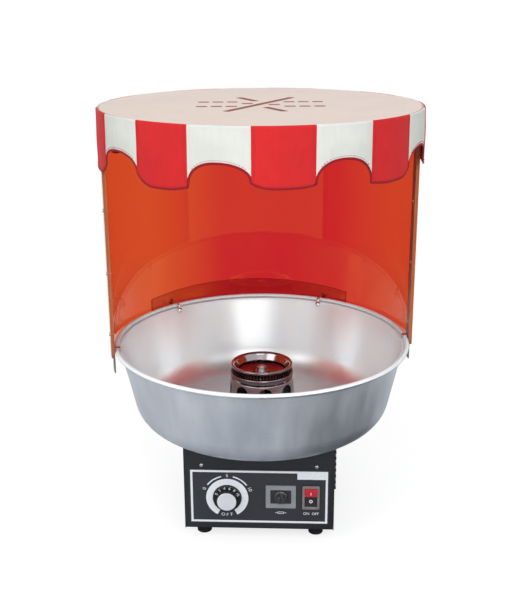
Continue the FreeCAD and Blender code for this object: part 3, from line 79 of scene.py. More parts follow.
class Shading:
    """The emptied node tree of a material or world, and the means to fill it."""

    def __init__(self, owner, output="ShaderNodeOutputMaterial"):
        owner.use_nodes = True
        self.tree = owner.node_tree
        self.tree.nodes.clear()
        self.out = self.new(output)
        coords = self.new("ShaderNodeTexCoord").outputs
        self.coords = coords["Object"]
        self.normal = coords["Normal"]
        self.generated = coords["Generated"]

    def plug(self, node, socket, value):
        """Link an output to an input, or write a value there."""
        if isinstance(value, bpy.types.NodeSocket):
            self.tree.links.new(value, node.inputs[socket])
        else:
            node.inputs[socket].default_value = value

    def new(self, kind, inputs=(), **settings):
        """A node with its settings, and its inputs filled in order or by name."""
        node = self.tree.nodes.new(kind)
        for setting, value in settings.items():
            setattr(node, setting, value)
        pairs = inputs.items() if isinstance(inputs, dict) else enumerate(inputs)
        for socket, value in pairs:
            self.plug(node, socket, value)
        return node

    def math(self, operation, a, b=0.0, clamp=False):
        return self.new("ShaderNodeMath", (a, b), operation=operation,
                        use_clamp=clamp).outputs[0]

    def vector(self, operation, a, b=(0, 0, 0)):
        return self.new("ShaderNodeVectorMath", (a, b), operation=operation).outputs

    def axes(self, vector=None):
        """X, Y and Z of the surface point in metres, or of another vector."""
        return self.new("ShaderNodeSeparateXYZ",
                        [self.coords if vector is None else vector]).outputs

    def joined(self, x, y, z):
        """A vector from three values."""
        return self.new("ShaderNodeCombineXYZ", (x, y, z)).outputs[0]

    def range(self, factor, low, high, start=0.0, end=1.0, curve="LINEAR"):
        """Low to high while the factor goes from start to end."""
        return self.new("ShaderNodeMapRange", {
            "Value": factor, "From Min": start, "From Max": end, "To Min": low,
            "To Max": high}, interpolation_type=curve).outputs["Result"]

    def fade(self, factor, start, end):
        """0 to 1 with soft ends."""
        return self.range(factor, 0.0, 1.0, start, end, "SMOOTHSTEP")

    def mix(self, factor, a, b):
        """Colour a where the factor is 0, b where it is 1."""
        return self.new("ShaderNodeMix", {"Factor": factor, 6: a, 7: b},
                        data_type="RGBA").outputs[2]

    def shader(self, kind, colour, strength=None):
        values = [colour] if strength is None else [colour, strength]
        return self.new(kind, values).outputs[0]

    def blend(self, factor, first, second):
        """The first shader where the factor is 0, the second where it is 1."""
        return self.new("ShaderNodeMixShader", (factor, first, second)).outputs[0]

    def show(self, shader):
        self.plug(self.out, "Surface", shader)


class Finish(Shading):
    """A material under construction: one Principled shader and nodes that feed it."""

    def __init__(self, name, colour, roughness, metallic=0.0, **sockets):
        self.mat = bpy.data.materials.new(name)
        super().__init__(self.mat)
        self.bsdf = self.new("ShaderNodeBsdfPrincipled", {
            "Base Color": colour, "Roughness": roughness, "Metallic": metallic})
        for socket, value in sockets.items():
            self.set(socket.replace("_", " "), value)
        self.show(self.bsdf.outputs[0])
        self.height = None

    def set(self, socket, value):
        self.plug(self.bsdf, socket, value)

    def radius(self, x=0.0, z=None):
        """Distance from the vertical axis, or from a line along Y through (x, z)."""
        px, py, pz = self.axes()
        first = self.math("SUBTRACT", px, x)
        second = py if z is None else self.math("SUBTRACT", pz, z)
        return self.math("SQRT", self.math("ADD", self.math("MULTIPLY", first, first),
                                           self.math("MULTIPLY", second, second)))

    def noise(self, scale, detail=3.0, vector=None, roughness=0.55):
        return self.new("ShaderNodeTexNoise", {
            "Vector": self.coords if vector is None else vector, "Scale": scale,
            "Detail": detail, "Roughness": roughness}).outputs["Fac"]

    def rings(self, across, along, pitch, detail=3.0):
        """Noise that is the same all round an axis and changes over a pitch."""
        return self.noise(1.0, detail, self.joined(self.math("MULTIPLY", across, 1.0 / pitch),
                                                   self.math("MULTIPLY", along, 1.0 / pitch),
                                                   0.0))

    def weighted(self, *parts):
        """Sum of values, each times its weight."""
        total = None
        for value, weight in parts:
            term = self.math("MULTIPLY", value, weight)
            total = term if total is None else self.math("ADD", total, term)
        return total

    def stretched(self, x, y, z):
        """Object coordinates with each axis scaled."""
        return self.new("ShaderNodeMapping", {"Vector": self.coords,
                                              "Scale": (x, y, z)}).outputs[0]

    def ramp(self, factor, *stops):
        node = self.new("ShaderNodeValToRGB", [factor])
        elements = node.color_ramp.elements
        while len(elements) < len(stops):
            elements.new(0.5)
        for element, (place, colour) in zip(elements, stops):
            element.position = place
            element.color = colour
        return node.outputs["Color"]

    def drift(self, factor, colour, low, high, start=0.3, end=0.7):
        """The colour times low at the start of the factor's range, times high at its end."""
        return self.ramp(factor, (start, shade(colour, low)), (end, shade(colour, high)))

    def bump(self, height, strength, distance):
        node = self.new("ShaderNodeBump", {"Height": height, "Strength": strength,
                                           "Distance": distance})
        if self.height is not None:
            self.plug(node, "Normal", self.height)
        self.height = node.outputs["Normal"]
        self.set("Normal", self.height)

    def tangent(self, axis):
        self.set("Tangent", self.new("ShaderNodeTangent", direction_type="RADIAL",
                                     axis=axis).outputs[0])


def vary(finish, colour, scale, amount):
    """Colour that drifts a little over the surface."""
    patch = finish.noise(scale, 4.0)
    finish.set("Base Color", finish.drift(patch, colour, 1 - amount, 1 + amount))
    return patch


def enamel(name, colour, roughness, grain=900.0, coat=0.25):
    """Sprayed enamel with a fine orange-peel skin and faint handling marks."""
    finish = Finish(name, colour, roughness, Coat_Weight=coat, Coat_Roughness=0.35)
    vary(finish, colour, 35.0, 0.10)
    smear = finish.noise(14.0, 5.0, finish.stretched(1.0, 1.0, 3.0))
    finish.set("Roughness", finish.range(smear, roughness - 0.08, roughness + 0.12, 0.3, 0.7))
    finish.bump(finish.noise(grain, 2.0), 0.25, 0.0002)
    return finish.mat


def grained(name, colour, patches, gloss, grain, bump, metallic=0.0, **sockets):
    """Colour and gloss that drift together in patches, over a fine grain.

    The pairs are the patches' scale and share of the colour, the lowest and highest
    roughness, the grain's scale and detail, and the bump's strength and distance."""
    finish = Finish(name, colour, gloss[0], metallic, **sockets)
    patch = vary(finish, colour, *patches)
    finish.set("Roughness", finish.range(patch, *gloss, 0.3, 0.7))
    finish.bump(finish.noise(*grain), *bump)
    return finish.mat


def plastic(name, colour, roughness, grain=1600.0, bump=0.15, coat=0.0):
    """Moulded plastic with a fine spark-eroded grain."""
    return grained(name, colour, (60.0, 0.08), (roughness - 0.05, roughness + 0.08),
                   (grain, 2.0), (bump, 0.0001), Coat_Weight=coat, Coat_Roughness=0.12)


def rubber(name, colour):
    """Matt rubber, dusty in patches."""
    return grained(name, colour, (90.0, 0.25), (0.65, 0.9), (700.0, 3.0), (0.35, 0.0002),
                   Specular_IOR_Level=0.3)


def plated(name, colour, roughness):
    """Zinc or nickel plate, slightly cloudy."""
    return grained(name, colour, (260.0, 0.12), (roughness - 0.08, roughness + 0.14),
                   (1400.0, 2.0), (0.1, 0.0001), 1.0)


def cast_metal(name, colour, roughness):
    """Cast or bare sheet metal with a sandy skin."""
    return grained(name, colour, (120.0, 0.15), (roughness - 0.06, roughness + 0.1),
                   (500.0, 4.0), (0.3, 0.0002), 1.0)


def printing(name, colour):
    """Screen-printed ink, a little uneven."""
    return grained(name, colour, (400.0, 0.05), (0.42, 0.6), (2500.0, 2.0), (0.1, 0.00005))


def turned_metal(name, colour, roughness, pitch, anisotropy, drift=0.06, centre=None,
                 metallic=1.0):
    """Spun or turned metal: fine rings about an axis, cloudy rubbed patches.

    The axis is vertical, or along Y through a centre (x, z)."""
    finish = Finish(name, colour, roughness, metallic, Anisotropic=anisotropy)
    _, py, pz = finish.axes()
    if centre is None:
        fine = finish.rings(finish.radius(), pz, pitch)
        finish.tangent("Z")
    else:
        fine = finish.rings(finish.radius(*centre), py, pitch)
        finish.tangent("Y")
    cloud = finish.noise(18.0, 4.0)
    mixed = finish.weighted((fine, 0.6), (cloud, 0.4))
    finish.set("Base Color", finish.drift(mixed, colour, 1 - drift, 1 + drift, 0.35, 0.65))
    finish.set("Roughness", finish.range(mixed, roughness - 0.06, roughness + 0.08, 0.35, 0.65))
    finish.bump(fine, 0.35, 0.00003)
    return finish.mat


def layered_metal(name, colour, pitch):
    """Stacked laminations, seen as fine level lines."""
    finish = Finish(name, colour, 0.45, 1.0)
    level = finish.math("MULTIPLY", finish.axes()[2], 1.0 / pitch)
    stack = finish.noise(1.0, 1.0, finish.joined(0.0, 0.0, level))
    finish.set("Base Color", finish.drift(stack, colour, 0.7, 1.15, 0.35, 0.65))
    finish.bump(stack, 0.5, 0.0001)
    return finish.mat


# ---- finishes -------------------------------------------------------------------
def acrylic(name, tint, painted_light_tint, gloss_tint):
    """Transparent tinted sheet whose sides are painted more orange, painted light of light that
    passed through it. Lamps shine through it in its own colour.
    """
    finish = Finish(name, tint, 0.03, Transmission_Weight=1.0, IOR=1.49,
                    Specular_Tint=gloss_tint)
    px, py, _ = finish.axes()
    haze = finish.noise(7.0, 3.0, finish.stretched(1.0, 1.0, 0.5))
    # painted light: towards its sides the sheet is coloured more orange, as light that came
    # through it looks
    side = finish.math("ABSOLUTE", finish.math("SUBTRACT", px, SHEET_MIDDLE_X))
    painted_light_side = finish.range(side, 0.0, 1.0, PAINTED_LIGHT_START, PAINTED_LIGHT_END)
    painted_light_side = finish.math("ADD", painted_light_side, finish.math("MULTIPLY", haze, 0.25), True)
    tint_and_painted_light = finish.ramp(painted_light_side, (0.1, tint), (1.0, painted_light_tint))
    # the sawn edges are frosted: there the surface doesn't face the axis
    outward = finish.vector("NORMALIZE", finish.joined(px, py, 0.0))["Vector"]
    facing = finish.vector("DOT_PRODUCT", outward, finish.normal)["Value"]
    sawn = finish.range(finish.math("ABSOLUTE", facing), 1.0, 0.0, 0.3, 0.6)
    frost = finish.ramp(finish.noise(600.0, 3.0), (0.3, rgb(164, 84, 54)),
                        (0.7, rgb(188, 104, 66)))
    finish.set("Base Color", finish.mix(sawn, tint_and_painted_light, frost))
    finish.set("Roughness", finish.range(sawn, 0.03, 0.55))
    finish.set("Transmission Weight", finish.range(sawn, 1.0, 0.0))
    finish.bump(finish.noise(5.0, 1.0), 0.08, 0.002)
    shadow = finish.new("ShaderNodeLightPath").outputs["Is Shadow Ray"]
    finish.show(finish.blend(shadow, finish.bsdf.outputs[0],
                             finish.shader("ShaderNodeBsdfTransparent", tint)))
    return finish.mat


def bowl_metal():
    """Spun aluminium of the bowl: satin, with faint rings and streaks down the wall.

    Its roughness stays above 0.28, because smoother patches come out speckled."""
    colour = rgb(244, 252, 255)
    finish = Finish("spun_bowl", colour, 0.31, 0.86, Anisotropic=0.7, Anisotropic_Rotation=0.25)
    pz = finish.axes()[2]
    facing_up = finish.axes(finish.normal)[2]
    finish.tangent("Z")
    fine = finish.rings(finish.radius(), pz, 0.002, 2.0)
    streak = finish.noise(1.0, 4.0, finish.stretched(42.0, 42.0, 5.0), 0.6)
    cloud = finish.noise(11.0, 3.0)
    mixed = finish.weighted((fine, 0.12), (streak, 0.48), (cloud, 0.4))
    # the inside is polished, with painted shade that darkens its floor; the outside is coloured
    # greyer and darker as painted shade
    inside = finish.range(facing_up, 0.0, 1.0, -0.05, 0.05)
    high = finish.range(pz, 0.0, 1.0, BOWL_FLOOR_Z, BOWL_WALL_Z)
    inside_with_painted_floor_shade = finish.mix(high, finish.drift(mixed, colour, 0.76, 0.90, 0.36, 0.64),
                          finish.drift(mixed, colour, 0.98, 1.08, 0.36, 0.64))
    # painted shade: the whole outside is coloured a darker grey
    outside_painted_shade = finish.ramp(mixed, (0.36, rgb(204, 208, 214)), (0.64, rgb(222, 226, 232)))
    finish.set("Base Color", finish.mix(inside, outside_painted_shade, inside_with_painted_floor_shade))
    # the top of the rolled rim is rubbed pale
    rim = finish.math("MULTIPLY", finish.range(pz, 0.0, 1.0, RIM_LOW_Z, RIM_HIGH_Z),
                      finish.range(facing_up, 0.0, 1.0, -0.35, 0.05))
    finish.set("Roughness", finish.math("ADD", finish.range(mixed, 0.30, 0.42, 0.36, 0.64),
                                        finish.math("MULTIPLY", rim, 0.14)))
    metal = finish.range(inside, 0.88, finish.range(high, 0.90, 0.60))
    finish.set("Metallic", finish.math("SUBTRACT", metal, finish.math("MULTIPLY", rim, 0.55),
                                       True))
    finish.bump(fine, 0.15, 0.00003)
    finish.bump(cloud, 0.06, 0.001)
    return finish.mat


def two_colour_rocker():
    """Clear red upper half over a black lower half."""
    red = rgb(208, 30, 46)
    black = rgb(30, 30, 32)
    finish = Finish("rocker_red_black", red, 0.16, Coat_Weight=1.0, Coat_Roughness=0.12)
    upper = finish.math("GREATER_THAN", finish.axes()[2], SWITCH.z + 0.0012)
    glow = finish.drift(finish.noise(240.0, 2.0), red, 0.85, 1.2)
    finish.set("Base Color", finish.mix(upper, black, glow))
    finish.bump(finish.noise(900.0, 2.0), 0.1, 0.0001)
    return finish.mat


def switch_frame():
    """Black switch box whose bezel face is painted a paler grey, a painted highlight of its
    raised edge catching the light.
    """
    finish = Finish("switch_bezel", rgb(27, 27, 29), 0.34)
    face = finish.range(finish.axes()[1], 1.0, 0.0, BEZEL_Y + 0.0002, BEZEL_Y + 0.0006)
    cloud = finish.noise(300.0, 3.0)
    # painted highlight: the bezel's front face is coloured pale grey
    painted_edge_highlight = finish.ramp(cloud, (0.3, rgb(112, 104, 106)), (0.7, rgb(140, 130, 132)))
    finish.set("Base Color", finish.mix(face, rgb(26, 26, 28), painted_edge_highlight))
    finish.bump(finish.noise(1500.0, 2.0), 0.12, 0.0001)
    return finish.mat


def fuse_tube():
    """Glass tube between two metal end caps."""
    low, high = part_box("fuse_link")
    cap_length = 0.005
    finish = Finish("fuse_glass", rgb(215, 222, 220), 0.12)
    off = finish.math("ABSOLUTE", finish.math("SUBTRACT", finish.axes()[1],
                                              (low.y + high.y) / 2))
    cap = finish.math("GREATER_THAN", off, (high.y - low.y) / 2 - cap_length)
    finish.set("Metallic", cap)
    cloud = finish.noise(300.0, 2.0)
    glass = finish.ramp(cloud, (0.3, rgb(150, 160, 160)), (0.7, rgb(190, 200, 200)))
    finish.set("Base Color", finish.mix(cap, glass, rgb(200, 200, 200)))
    return finish.mat


def board_laminate():
    """Off-white board with a faint warm mottle, and a brown core at its cut edges."""
    colour = rgb(227, 208, 197)
    finish = Finish("board_laminate", colour, 0.5, Specular_IOR_Level=0.1)
    pz = finish.axes()[2]
    cloud = finish.noise(13.0, 5.0)
    faces = finish.ramp(cloud, (0.3, rgb(220, 202, 192)), (0.5, colour),
                        (0.7, rgb(231, 214, 204)))
    fibre = finish.noise(1.0, 4.0, finish.stretched(300.0, 300.0, 1500.0))
    core = finish.ramp(fibre, (0.3, rgb(150, 84, 48)), (0.7, rgb(186, 116, 74)))
    under = finish.math("LESS_THAN", pz, BOARD_HIGH.z - 0.0001)
    above = finish.math("GREATER_THAN", pz, BOARD_LOW.z + 0.0001)
    finish.set("Base Color", finish.mix(finish.math("MULTIPLY", under, above), faces, core))
    finish.set("Roughness", finish.range(cloud, 0.38, 0.55, 0.3, 0.7))
    finish.bump(finish.noise(420.0, 4.0), 0.12, 0.0002)
    return finish.mat


def cloth(name, dark, light, sheen=0.06):
    """Plain-woven cloth on the round skirt: threads run round it and down it."""
    finish = Finish(name, light, 0.8, Sheen_Weight=sheen, Sheen_Roughness=0.5,
                    Specular_IOR_Level=0.25)
    px, py, pz = finish.axes()
    turn = finish.math("ARCTAN2", px, py)
    warp = finish.math("SINE", finish.math("MULTIPLY", turn, WEAVE_R * 2 * math.pi / THREAD))
    weft = finish.math("SINE", finish.math("MULTIPLY", pz, 2 * math.pi / THREAD))
    weave = finish.math("MULTIPLY", warp, weft)
    slub = finish.noise(1.0, 3.0, finish.stretched(240.0, 240.0, 60.0))
    cloud = finish.noise(16.0, 4.0)
    tone = finish.weighted((cloud, 0.6), (slub, 0.3), (weave, 0.05))
    finish.set("Base Color", finish.ramp(tone, (0.3, dark), (0.6, light)))
    finish.set("Roughness", finish.range(cloud, 0.72, 0.9, 0.3, 0.7))
    finish.bump(weave, 0.25, 0.00012)
    finish.bump(slub, 0.3, 0.0002)
    return finish.mat


def edge_strip():
    """Satin strip, bare below the rim; above it the orange-red light of the tinted sheet is
    painted into its colour, as painted light.
    """
    finish = Finish("edge_strip", rgb(96, 92, 88), 0.5, 0.12)
    above = finish.range(finish.axes()[2], 0.0, 1.0, BARE_Z, PAINTED_SHEET_LIGHT_Z)
    cloud = finish.noise(70.0, 4.0, finish.stretched(1.0, 1.0, 0.2))
    # painted light: above the rim the strip is coloured by the sheet's orange-red light
    tint_and_painted_light = finish.ramp(cloud, (0.3, rgb(156, 78, 52)), (0.7, rgb(190, 112, 76)))
    bare = finish.ramp(cloud, (0.3, rgb(92, 86, 80)), (0.7, rgb(122, 114, 106)))
    finish.set("Base Color", finish.mix(above, bare, tint_and_painted_light))
    finish.bump(finish.noise(600.0, 2.0), 0.15, 0.0001)
    return finish.mat


ENAMEL = enamel("dark_enamel", rgb(28, 29, 35), 0.48, coat=0.05)
PLATE = enamel("front_plate", rgb(43, 45, 50), 0.55, grain=1500.0, coat=0.0)
RUBBER = rubber("black_rubber", rgb(24, 24, 26))
ZINC = plated("zinc_steel", rgb(196, 197, 200), 0.3)
STEEL = cast_metal("mount_steel", rgb(150, 152, 155), 0.4)
CAST = cast_metal("cast_alloy", rgb(176, 178, 182), 0.45)
BLACK = plastic("black_plastic", rgb(27, 27, 29), 0.4)
KNOB_BLACK = plastic("knob_black", rgb(24, 24, 26), 0.32)
GLOSS = plastic("gloss_black", rgb(44, 44, 47), 0.2, bump=0.05, coat=1.0)
GREY = plastic("grey_plate", rgb(138, 140, 145), 0.5)
CAP = turned_metal("knob_cap_silver", rgb(232, 234, 238), 0.42, 0.0004, 0.5,
                   centre=(KNOB.x, KNOB.z), metallic=0.35)
ROCKER = two_colour_rocker()
BEZEL = switch_frame()
LAMINATION = layered_metal("lamination", rgb(120, 120, 125), 0.0007)
COPPER = layered_metal("copper", rgb(200, 120, 80), 0.0012)
BRASS = turned_metal("slip_brass", rgb(205, 170, 105), 0.3, 0.0005, 0.4)
CARBON = rubber("carbon", rgb(40, 40, 42))
BOWL = bowl_metal()
COLLAR = turned_metal("collar_alloy", rgb(200, 202, 207), 0.22, 0.0006, 0.5)
HEAD = turned_metal("head_alloy", rgb(160, 153, 158), 0.13, 0.0005, 0.3, drift=0.03)
BAND = turned_metal("black_band", rgb(38, 38, 41), 0.35, 0.0006, 0.3)
HEATER = cast_metal("heater_alloy", rgb(110, 105, 100), 0.5)
CERAMIC = plastic("ceramic_pad", rgb(226, 220, 208), 0.6)
STRIP = edge_strip()
BOARD = board_laminate()
SHIELD = acrylic("orange_acrylic", rgb(204, 34, 42), rgb(214, 78, 38), (1.0, 0.52, 0.03, 1.0))
BACKING = acrylic("orange_acrylic_strip", rgb(212, 172, 190), rgb(218, 176, 190),
                  (1.0, 0.70, 0.66, 1.0))
RED_CLOTH = cloth("red_cloth", rgb(204, 33, 38), rgb(218, 42, 43))
WHITE_CLOTH = cloth("white_cloth", rgb(215, 218, 211), rgb(227, 228, 222))
# dark red hem tape, partly painted shade under the hem
HEM_BINDING_AND_SHADE = cloth("red_binding_and_shade", rgb(136, 16, 28), rgb(162, 24, 38))
THREAD_RED = cloth("red_thread", rgb(160, 20, 30), rgb(190, 30, 40), sheen=0.25)
INK = printing("white_ink", rgb(228, 232, 238))
# brown round the slots: partly the board's cut edge, partly painted shade of the shaded,
# orange-lit slot walls
BROWN_EDGING_AND_SHADE = plastic("brown_edging_and_shade", rgb(140, 78, 50), 0.6, grain=700.0)
SILVER = plated("polished_steel", rgb(225, 226, 230), 0.14)

FINISHES = {
    ENAMEL: ["chassis", "cabinet_cover"],
    PLATE: ["control_plate"],
    RUBBER: ["rubber_feet", "motor_isolators", "collar_gasket", "bowl_seat"],
    ZINC: ["foot_screws", "cover_screws", "inlet_screws", "dial_spindle", "isolator_screws",
           "motor_screws", "shaft_bearings", "drive_shaft", "collar_screws", "head_studs",
           "hub_nut", "post_rivets"],
    BLACK: ["mains_inlet", "heat_control", "cooling_fan", "slip_ring_hub", "brush_holders",
            "heater_leads"],
    GLOSS: ["fuse_holder", "fuse_cap"],
    BEZEL: ["switch_housing"],
    KNOB_BLACK: ["heat_knob"],
    CAP: ["knob_cap"],
    GREY: ["fuse_plate"],
    fuse_tube(): ["fuse_link"],
    ROCKER: ["power_rocker"],
    STEEL: ["motor_plate", "motor_can", "brush_bridge"],
    CAST: ["motor_upper_bell", "motor_lower_bell"],
    LAMINATION: ["stator_core", "rotor_core"],
    COPPER: ["stator_windings"],
    BRASS: ["slip_rings"],
    CARBON: ["carbon_brushes"],
    COLLAR: ["air_collar", "rim_saddles"],
    HEAD: ["head_base", "head_cap_ring"],
    BAND: ["floss_band"],
    HEATER: ["heater_ribbon"],
    CERAMIC: ["heater_insulators"],
    BOWL: ["floss_bowl"],
    SHIELD: ["shield_sheet"],
    BACKING: ["shield_backing"],
    STRIP: ["shield_posts"],
    SILVER: ["rim_hooks"],
    BOARD: ["canopy_board"],
}
for material, names in FINISHES.items():
    for name in names:
        nodes[name].data.materials.clear()
        nodes[name].data.materials.append(material)


# ---- mesh helpers ---------------------------------------------------------------
def piece(name, bm, materials, body, smooth=True):
    """An object from a bmesh, riding on a body."""
    mesh = bpy.data.meshes.new(name)
    bm.normal_update()
    bm.to_mesh(mesh)
    bm.free()
    obj = bpy.data.objects.new(name, mesh)
    bpy.context.scene.collection.objects.link(obj)
    for material in materials:
        mesh.materials.append(material)
    for polygon in mesh.polygons:
        polygon.use_smooth = smooth
    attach(obj, body)
    return obj


def flat_print(bm, points):
    """Thin closed print on the control plate, from (x, z) points."""
    front = [bm.verts.new((x, INK_FRONT, z)) for x, z in points]
    back = [bm.verts.new((x, INK_BACK, z)) for x, z in points]
    faces = [bm.faces.new(front), bm.faces.new(list(reversed(back)))]
    count = len(points)
    for i in range(count):
        faces.append(bm.faces.new((front[i], back[i], back[(i + 1) % count],
                                   front[(i + 1) % count])))
    bmesh.ops.recalc_face_normals(bm, faces=faces)


def box_print(bm, x0, x1, z0, z1):
    flat_print(bm, [(x0, z0), (x1, z0), (x1, z1), (x0, z1)])


def arc_print(bm, inner, outer, start, end, steps):
    """Part of a ring round the knob; angles in degrees, clockwise from the top."""
    angles = [math.radians(start + (end - start) * i / steps) for i in range(steps + 1)]
    ring = [(KNOB.x + outer * math.sin(a), KNOB.z + outer * math.cos(a)) for a in angles]
    ring += [(KNOB.x + inner * math.sin(a), KNOB.z + inner * math.cos(a))
             for a in reversed(angles)]
    flat_print(bm, ring)


def label(name, text, size, x, y, z, body, turn=0.0):
    """Raised lettering that faces the front, as a mesh."""
    curve = bpy.data.curves.new(name, "FONT")
    curve.body = text
    curve.size = size
    curve.extrude = LETTER_HALF
    curve.align_x = "CENTER"
    curve.align_y = "CENTER"
    curve.resolution_u = 4
    obj = bpy.data.objects.new(name, curve)
    obj.matrix_world = (Matrix.Translation((x, y, z)) @ Matrix.Rotation(turn, 4, "Y")
                        @ Matrix.Rotation(math.pi / 2, 4, "X"))
    bpy.context.scene.collection.objects.link(obj)
    bpy.context.view_layer.update()
    mesh = bpy.data.meshes.new_from_object(obj.evaluated_get(
        bpy.context.evaluated_depsgraph_get()))
    mesh.transform(obj.matrix_world)
    bpy.data.objects.remove(obj)
    solid = bpy.data.objects.new(name, mesh)
    bpy.context.scene.collection.objects.link(solid)
    mesh.materials.clear()
    mesh.materials.append(INK)
    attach(solid, body)
    return solid


def knob_label(name, text, size, radius, angle, y, body):
    """Lettering round the knob; angle in degrees, clockwise from the top."""
    turn = math.radians(angle)
    return label(name, text, size, KNOB.x + radius * math.sin(turn), y,
                 KNOB.z + radius * math.cos(turn), body, turn)


# ---- canopy valance -------------------------------------------------------------
PANELS = 18
PANEL = 2 * math.pi / PANELS
COLUMNS = 24                       # per panel
ROWS = 22
TOP_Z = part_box("canopy_valance")[1].z
SEAM_SIDE, STITCH_SIDE = 0.0065, 0.0165    # from the panels' border, in radians
OFF_CLOTH = 0.0005                 # middle of a stitch above the cloth's middle
SKIRT_R = 0.2174                   # cloth's middle at the top edge
HEM_R = 0.2168
CLOTH = 0.0008                     # thickness
TAPE = (0.0017, 0.0009)            # half width and half thickness of the binding
FELL = (0.0012, 0.0005)            # and of the seams
CORD_R = 0.0008                    # of the welt
ARCH_POWER, SAG_POWER = 2.25, 3.2  # how square the white arches and the red edges are
BOARD_R = (BOARD_HIGH.x - BOARD_LOW.x) / 2
# radius and height of the edge that is tacked to the board
TACKED = [(BOARD_R + 0.0005, TOP_Z - 0.0026), (BOARD_R + 0.0006, TOP_Z - 0.0005),
          ((BOARD_R + SKIRT_R) / 2, TOP_Z + 0.0001)]
# heights of the scalloped edge, counter-clockwise from the front panel: at each seam, first
# the one right of that panel, at the top of each white arch and where each red panel is lowest
TIPS = [0.5296, 0.5252, 0.5336, 0.5290, 0.5262, 0.5318, 0.5285, 0.5258, 0.5312,
        0.5294, 0.5266, 0.5308, 0.5280, 0.5330, 0.5372, 0.5360, 0.5256, 0.5335]
ARCH_TOPS = [0.5572, 0.5560, 0.5548, 0.5565, 0.5552, 0.5570, 0.5558, 0.5572, 0.5550]
SAGS = [0.5262, 0.5222, 0.5228, 0.5236, 0.5224, 0.5232, 0.5226, 0.5218, 0.5212]


def smooth(t):
    return t * t * (3 - 2 * t)


def hem_z(panel, share):
    """Height of the lower edge within a panel, share 0 to 1 from seam to seam."""
    left = TIPS[(panel - 1) % PANELS]
    right = TIPS[panel % PANELS]
    base = left + (right - left) * share
    across = 2 * share - 1
    if panel % 2:
        skew = across + 0.04 * (1 - across * across)
        lift = max(0.0, 1 - abs(skew) ** ARCH_POWER) ** (1 / ARCH_POWER)
        return base + (ARCH_TOPS[panel // 2] - base) * lift
    return base + (SAGS[panel // 2] - base) * (1 - abs(across) ** SAG_POWER)


WRINKLES = [(random.uniform(-1, 1), random.uniform(0.3, 1.0), random.uniform(0, 6.28),
             random.choice((2, 3))) for _ in range(PANELS)]


def skirt_radius(panel, share, down):
    """Radius of the cloth; down is 0 at the top edge and 1 at the hem."""
    lean, strength, phase, waves = WRINKLES[panel % PANELS]
    base = SKIRT_R + (HEM_R - SKIRT_R) * down
    belly = 0.0011 * math.sin(math.pi * share) * math.sin(math.pi * min(1.0, down * 1.1)) ** 2
    fold = 0.5 + 0.5 * math.sin(waves * 2 * math.pi * share + lean * 3.5 * down + phase)
    fold = 0.0019 * strength * fold * smooth(down) * math.sin(math.pi * share) ** 0.7
    crease = 0.0009 * strength * max(0.0, math.sin(5.0 * share + lean * 6.0 * (down - 0.4)
                                                   + phase)) ** 6
    crease *= math.sin(math.pi * share) * math.sin(math.pi * down)
    flare = 0.0012 * smooth(down) * (1 if panel % 2 else 0.5)
    pucker = -0.0004 * math.exp(-(min(share, 1 - share) / 0.05) ** 2)
    return base + belly + fold + crease + flare + pucker


def canopy_point(radius, angle, z):
    """Point at a plan angle from the canopy's front, counter-clockwise."""
    a = angle + BOWL_TURN
    return Vector((radius * math.sin(a), -radius * math.cos(a), z))


def share_of(column):
    """Columns are closer together beside the seams."""
    return 0.5 - 0.5 * math.cos(math.pi * column / COLUMNS)


def skirt_place(panel, column):
    share = share_of(column)
    return (panel - 0.5 + share) * PANEL, share


bm = bmesh.new()
grid = []
cloth_area = 0.0
for panel in range(PANELS):
    for column in range(COLUMNS):
        angle, share = skirt_place(panel, column)
        low = hem_z(panel, share)
        line = []
        for row in range(ROWS + 1):
            down = row / ROWS
            z = TOP_Z + (low - TOP_Z) * down
            line.append(bm.verts.new(canopy_point(skirt_radius(panel, share, down), angle, z)))
        tacked = [bm.verts.new(canopy_point(radius, angle, z)) for radius, z in TACKED]
        grid.append(tacked + line)
for index, here in enumerate(grid):
    there = grid[(index + 1) % len(grid)]
    for row in range(len(here) - 1):
        face = bm.faces.new((here[row], here[row + 1], there[row + 1], there[row]))
        face.material_index = (index // COLUMNS) % 2
        cloth_area += face.calc_area()
valance = piece("valance_cloth", bm, [RED_CLOTH, WHITE_CLOTH], "canopy")
thick = valance.modifiers.new("thickness", "SOLIDIFY")
thick.thickness = CLOTH
thick.offset = 0.0
valance.modifiers.new("soften", "SUBSURF").render_levels = 1
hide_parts("canopy_valance")


def strip_along(bm, points, normals, half_width, half_depth, closed=True):
    """Flattened rounded tape along points, its width across the given directions."""
    sides = 8
    section = [(math.cos(a), math.sin(a)) for a in
               (2 * math.pi * i / sides for i in range(sides))]
    loops = []
    count = len(points)
    for i, (point, out) in enumerate(zip(points, normals)):
        before = points[(i - 1) % count] if closed or i else point
        after = points[(i + 1) % count] if closed or i < count - 1 else point
        along = (after - before).normalized()
        side = along.cross(out).normalized()
        loops.append([bm.verts.new(point + side * (half_width * c) + out * (half_depth * s))
                      for c, s in section])
    for i in range(count if closed else count - 1):
        a, b = loops[i], loops[(i + 1) % count]
        for k in range(sides):
            bm.faces.new((a[k], a[(k + 1) % sides], b[(k + 1) % sides], b[k]))
    if not closed:
        bm.faces.new(list(reversed(loops[0])))
        bm.faces.new(loops[-1])


# binding tape round the whole scalloped edge; its dark red is also painted shade, for the line
# the hem casts on the sheet
edge_points = []
edge_normals = []
for panel in range(PANELS):
    for column in range(COLUMNS):
        angle, share = skirt_place(panel, column)
        edge_points.append(canopy_point(skirt_radius(panel, share, 1.0), angle,
                                        hem_z(panel, share) + TAPE[1]))
        edge_normals.append(canopy_point(1.0, angle, 0.0))
bm = bmesh.new()
strip_along(bm, edge_points, edge_normals, *TAPE)
hem_binding_and_shade = piece("valance_binding_and_shade", bm, [HEM_BINDING_AND_SHADE], "canopy")

